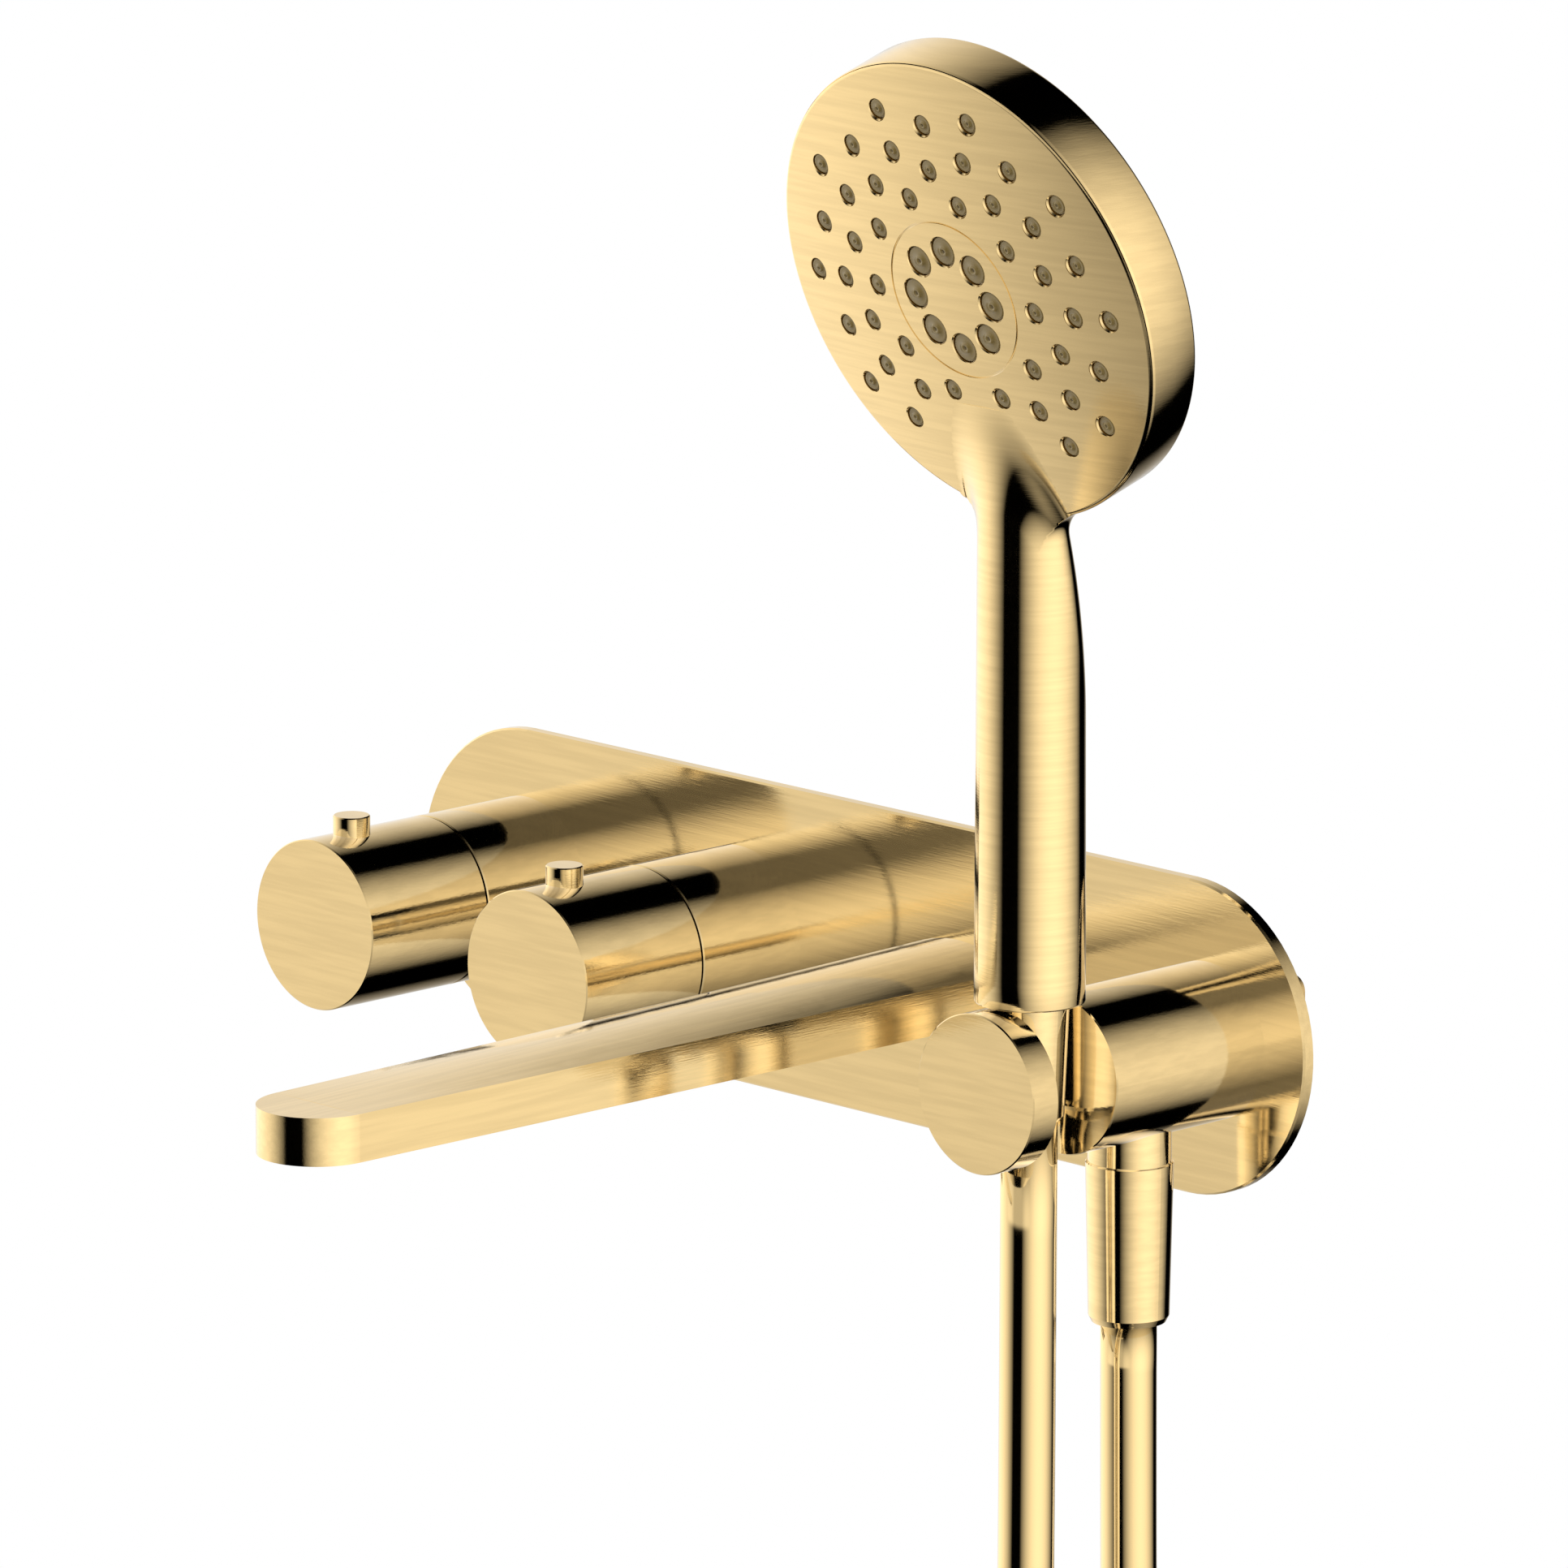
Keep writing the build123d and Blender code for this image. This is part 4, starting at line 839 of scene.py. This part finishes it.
def handle_distance(place, settings):
    """Distance to the handle, a round bar that ends inside the head, short of its back."""
    across = math.hypot(place.x - HANDLE_X, place.y - HANDLE_Y) - handle_radius(place.z)
    depth = -(place - FACE_APEX).dot(FACE_OUT)
    behind = depth - settings.head_depth + HANDLE_END
    return -smooth_union(-across, -behind, BACK_BLEND)


def neck_distance(place, settings):
    """Distance to the blended skin, which sinks under the head's own where the blend ends."""
    handle = handle_distance(place, settings)
    head = head_distance(place, settings)
    past = handle - head - NECK_BLEND + NECK_BLEND_SHORT
    sink = min(max(past * SINK_SLOPE, 0.0), SINK_DEPTH)
    return smooth_union(handle, head, NECK_BLEND) + sink


def neck_reach(height, angle, settings):
    """How far the neck's skin lies from the handle's axis."""
    heading = Vector((math.cos(angle), math.sin(angle), 0))
    centre = Vector((HANDLE_X, HANDLE_Y, height))
    inside, outside = NECK_SEARCH
    if neck_distance(centre + heading * outside, settings) < 0:
        return outside
    for _ in range(NECK_HALVINGS):
        middle = (inside + outside) / 2
        if neck_distance(centre + heading * middle, settings) < 0:
            inside = middle
        else:
            outside = middle
    return inside


def neck_normal(place, settings):
    """Outward direction of the blended skin; it is the head's own where the neck ends."""
    width = NECK_BLEND - NECK_BLEND_SHORT

    def skin(point):
        handle = handle_distance(point, settings)
        return smooth_union(handle, head_distance(point, settings), width)

    axes = (Vector((SKIN_STEP, 0, 0)), Vector((0, SKIN_STEP, 0)), Vector((0, 0, SKIN_STEP)))
    return Vector([skin(place + axis) - skin(place - axis) for axis in axes]).normalized()


def handle_shape(shape, settings):
    """Rings from the handle's foot up into the head, each moved onto the blended skin."""
    levels = [
        (HANDLE_BOTTOM, -FOOT_CHAMFER),
        (HANDLE_BOTTOM + FOOT_CHAMFER * 0.3, -FOOT_CHAMFER * 0.3),
        (HANDLE_BOTTOM + FOOT_CHAMFER, 0.0),
    ]
    straight = NECK_START - HANDLE_BOTTOM - FOOT_CHAMFER
    for index in range(1, HANDLE_RINGS + 1):
        height = HANDLE_BOTTOM + FOOT_CHAMFER + straight * index / HANDLE_RINGS
        levels.append((height, 0.0))
    # the neck's rings have no inset of their own: the blended skin places them
    for index in range(1, NECK_RINGS + 1):
        levels.append((NECK_START + (NECK_TOP - NECK_START) * index / NECK_RINGS, None))
    rings = []
    for height, inset in levels:
        matrix = Matrix.Translation((HANDLE_X, HANDLE_Y, height))
        radius = handle_radius(height) + (inset or 0.0)
        made = bmesh.ops.create_circle(
            shape, cap_ends=False, radius=radius, segments=HANDLE_SIDES, matrix=matrix)
        ring = made["verts"]
        if inset is None:
            for vertex in ring:
                angle = math.atan2(vertex.co.y - HANDLE_Y, vertex.co.x - HANDLE_X)
                reach = neck_reach(height, angle, settings)
                vertex.co.x = HANDLE_X + reach * math.cos(angle)
                vertex.co.y = HANDLE_Y + reach * math.sin(angle)
        rings.append(ring)
    skin_rings(shape, rings)


def head_outline(settings):
    """Half section of the head as (radius, height out of the apex plane), with its two seams."""
    def dome(radius):
        return -dome_drop(radius)

    outline = [(0.0, 0.0)]
    disc = [CENTRE_DISC_STEP * step for step in range(1, CENTRE_DISC_STEPS + 1)]
    outline += [(radius, dome(radius)) for radius in disc]
    outline += seam(CENTRE_DISC_RADIUS, dome)
    face = [FACE_START + FACE_STEP * step for step in range(FACE_STEPS)]
    outline += [(radius, dome(radius)) for radius in face]
    edge = settings.head_radius - RIM_ROUNDING
    start_height = dome(edge)
    for step in range(ROUNDING_STEPS + 1):
        turn = math.pi / 2 * step / ROUNDING_STEPS
        outline.append((
            edge + RIM_ROUNDING * math.sin(turn),
            start_height - RIM_ROUNDING * (1 - math.cos(turn)),
        ))
    seam_at = len(outline) - ROUNDING_STEPS + RIM_SEAM_STEP
    radius, height = outline[seam_at - 1]
    outline.insert(seam_at, (radius - SEAM_DEPTH * 0.6, height - SEAM_DEPTH * 1.1))
    back = -settings.head_depth
    outline.append((settings.head_radius, (start_height + back) / 2))
    edge = settings.head_radius - BACK_ROUNDING
    for step in range(BACK_ROUNDING_STEPS + 1):
        turn = math.pi / 2 * step / BACK_ROUNDING_STEPS
        outline.append((
            edge + BACK_ROUNDING * math.cos(turn),
            back + BACK_ROUNDING * (1 - math.sin(turn)),
        ))
    outline += [(radius, back) for radius in BACK_RADII]
    return outline


def seam(radius, height):
    """Narrow groove in a domed skin."""
    half = SEAM_WIDTH / 2
    return [
        (radius - half, height(radius)),
        (radius - half * 0.6, height(radius) - SEAM_DEPTH),
        (radius + half * 0.6, height(radius) - SEAM_DEPTH),
        (radius + half, height(radius)),
    ]


def nozzle_places(settings):
    """Ring radius, angle and hole radius of every nozzle."""
    places = []
    for ring, first, left_out in NOZZLE_RINGS:
        for index in range(round(360 / SPOKE_PITCH)):
            angle = first + SPOKE_PITCH * index
            if angle not in left_out:
                places.append((ring, math.radians(angle), settings.nozzle_radius))
    for index in range(LARGE_NOZZLE_COUNT):
        angle = 2 * math.pi * index / LARGE_NOZZLE_COUNT
        places.append((LARGE_NOZZLE_RING, angle, settings.large_nozzle_radius))
    return places


def hole_cutter(shape, settings):
    """One plug for every nozzle's hole, wider at the skin, which gives the hole a chamfer."""
    for ring, angle, radius in nozzle_places(settings):
        height = -dome_drop(ring)
        outline = [
            (0.0, height - HOLE_DEPTH),
            (radius, height - HOLE_DEPTH),
            (radius, height - HOLE_CHAMFER_LOW),
            (radius + HOLE_CHAMFER, height + HOLE_CHAMFER_HIGH),
            (radius + HOLE_CHAMFER, height + HOLE_CUT_HIGH),
            (0.0, height + HOLE_CUT_HIGH),
        ]
        add_turned(shape, outline, head_matrix(ring, angle), HOLE_SIDES)


def cut(piece, cutter_maker):
    """Take the cutter's volume out of the piece."""
    mesh = bpy.data.meshes.new("cutter")
    shape = bmesh.new()
    cutter_maker(shape)
    shape.to_mesh(mesh)
    shape.free()
    cutter = bpy.data.objects.new("cutter", mesh)
    bpy.context.scene.collection.objects.link(cutter)
    modifier = piece.modifiers.new("holes", "BOOLEAN")
    modifier.operation = "DIFFERENCE"
    modifier.solver = "EXACT"
    modifier.object = cutter
    bpy.context.view_layer.update()
    shown = piece.evaluated_get(bpy.context.evaluated_depsgraph_get())
    finished = bpy.data.meshes.new_from_object(shown)
    piece.modifiers.clear()
    piece.data = finished
    bpy.data.objects.remove(cutter)
    bpy.data.meshes.remove(mesh)


def dome_normals(piece, settings):
    """Shade the domed skin as the exact sphere, so that the holes leave no ripples in it."""
    mesh = piece.data
    centre = FACE_APEX - FACE_OUT * settings.face_dome
    mesh.set_sharp_from_angle(angle=DOME_SHARP_ANGLE)
    normals = [Vector((0, 0, 0)) for _ in mesh.loops]
    for face in mesh.polygons:
        for index in face.loop_indices:
            place = mesh.vertices[mesh.loops[index].vertex_index].co
            outward = (place - centre).normalized()
            on_skin = abs((place - centre).length - settings.face_dome) < DOME_TOLERANCE
            if on_skin and face.normal.dot(outward) > DOME_FACING:
                normals[index] = outward
    mesh.normals_split_custom_set(normals)


def neck_normals(piece, settings):
    """Shade the neck as the exact blend, and the rest of the handle as it is meshed."""
    mesh = piece.data
    mesh.set_sharp_from_angle(angle=NECK_SHARP_ANGLE)
    normals = [Vector((0, 0, 0))] * len(mesh.loops)
    for loop in mesh.loops:
        place = mesh.vertices[loop.vertex_index].co
        if place.z > NECK_START and abs(neck_distance(place, settings)) < NECK_TOLERANCE:
            normals[loop.index] = neck_normal(place, settings)
    mesh.normals_split_custom_set(normals)


def nub_shape(shape, settings, large):
    """Soft nozzles: a rounded stud with a fine raised tip and its bore."""
    for ring, angle, radius in nozzle_places(settings):
        if (radius == settings.large_nozzle_radius) != large:
            continue
        skin = -dome_drop(ring)
        outer = radius - NUB_GAP
        low = skin - HOLE_DEPTH + NUB_LIFT
        outline = [(0.0, low), (outer, low), (outer, skin - NUB_SHOULDER)]
        for step in range(1, NUB_ROUNDING_STEPS + 1):
            turn = math.pi / 2 * step / NUB_ROUNDING_STEPS
            outline.append((
                outer - NUB_ROUNDING * (1 - math.cos(turn)),
                skin - NUB_SHOULDER + NUB_ROUNDING * math.sin(turn) * 0.7,
            ))
        tip = outer * NUB_TIP_SHARE
        outline += [
            (tip + 0.0003, skin - 0.00062), (tip, skin - 0.0003), (tip * 0.75, skin - 0.00018),
            (tip * 0.45, skin - 0.00022), (tip * 0.35, skin - 0.0009), (0.0, skin - 0.0009),
        ]
        add_turned(shape, outline, head_matrix(ring, angle), NUB_SIDES)


class FAUCET_OT_hand_shower(bpy.types.Operator):
    """Make the handle that flows into the head, and the head pierced for its nozzles"""

    bl_idname = "faucet.hand_shower"
    bl_label = "Hand shower"

    def execute(self, context):
        settings = context.scene.faucet
        handle = new_piece(
            "handset_handle", lambda shape: handle_shape(shape, settings),
            "handset", finish("gold_handle"))
        neck_normals(handle, settings)
        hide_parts("handset_body")
        head = new_piece(
            "handset_head",
            lambda shape: turn_profile(
                shape, head_outline(settings), head_matrix(), HEAD_SIDES),
            "handset", finish("gold_head"))
        cut(head, lambda shape: hole_cutter(shape, settings))
        dome_normals(head, settings)
        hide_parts("head_back_cover", "centre_disc")
        return {"FINISHED"}


class FAUCET_OT_nozzles(bpy.types.Operator):
    """Make the soft nozzles of the spray face"""

    bl_idname = "faucet.nozzles"
    bl_label = "Nozzles"

    def execute(self, context):
        settings = context.scene.faucet
        for name, replaced, large in (
            ("spray_nozzles", "nozzle_mat", False),
            ("centre_nozzles", "centre_nozzle_mat", True),
        ):
            nubs = new_piece(
                name, lambda shape, large=large: nub_shape(shape, settings, large),
                "handset", finish("silicone"))
            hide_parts(replaced)
        return {"FINISHED"}


OPERATORS = (
    FAUCET_OT_stage,
    FAUCET_OT_hose,
    FAUCET_OT_finishes,
    FAUCET_OT_hand_shower,
    FAUCET_OT_nozzles,
)


class FAUCET_PT_panel(bpy.types.Panel):
    """Lists the faucet's settings and the steps that build it"""

    bl_label = "Bath Faucet"
    bl_idname = "FAUCET_PT_panel"
    bl_space_type = "VIEW_3D"
    bl_region_type = "UI"
    bl_category = "Faucet"

    def draw(self, context):
        layout = self.layout
        for name in FaucetSettings.__annotations__:
            layout.prop(context.scene.faucet, name)
        for operator in OPERATORS:
            layout.operator(operator.bl_idname)


CLASSES = (FaucetSettings,) + OPERATORS + (FAUCET_PT_panel,)


def register():
    for item in CLASSES:
        bpy.utils.register_class(item)
    bpy.types.Scene.faucet = PointerProperty(type=FaucetSettings)


def unregister():
    del bpy.types.Scene.faucet
    for item in reversed(CLASSES):
        bpy.utils.unregister_class(item)


def main():
    register()
    bpy.ops.faucet.stage()
    bpy.ops.faucet.hose()
    bpy.ops.faucet.finishes()
    bpy.ops.faucet.hand_shower()
    bpy.ops.faucet.nozzles()
    bpy.context.view_layer.update()


if __name__ == "__main__":
    main()
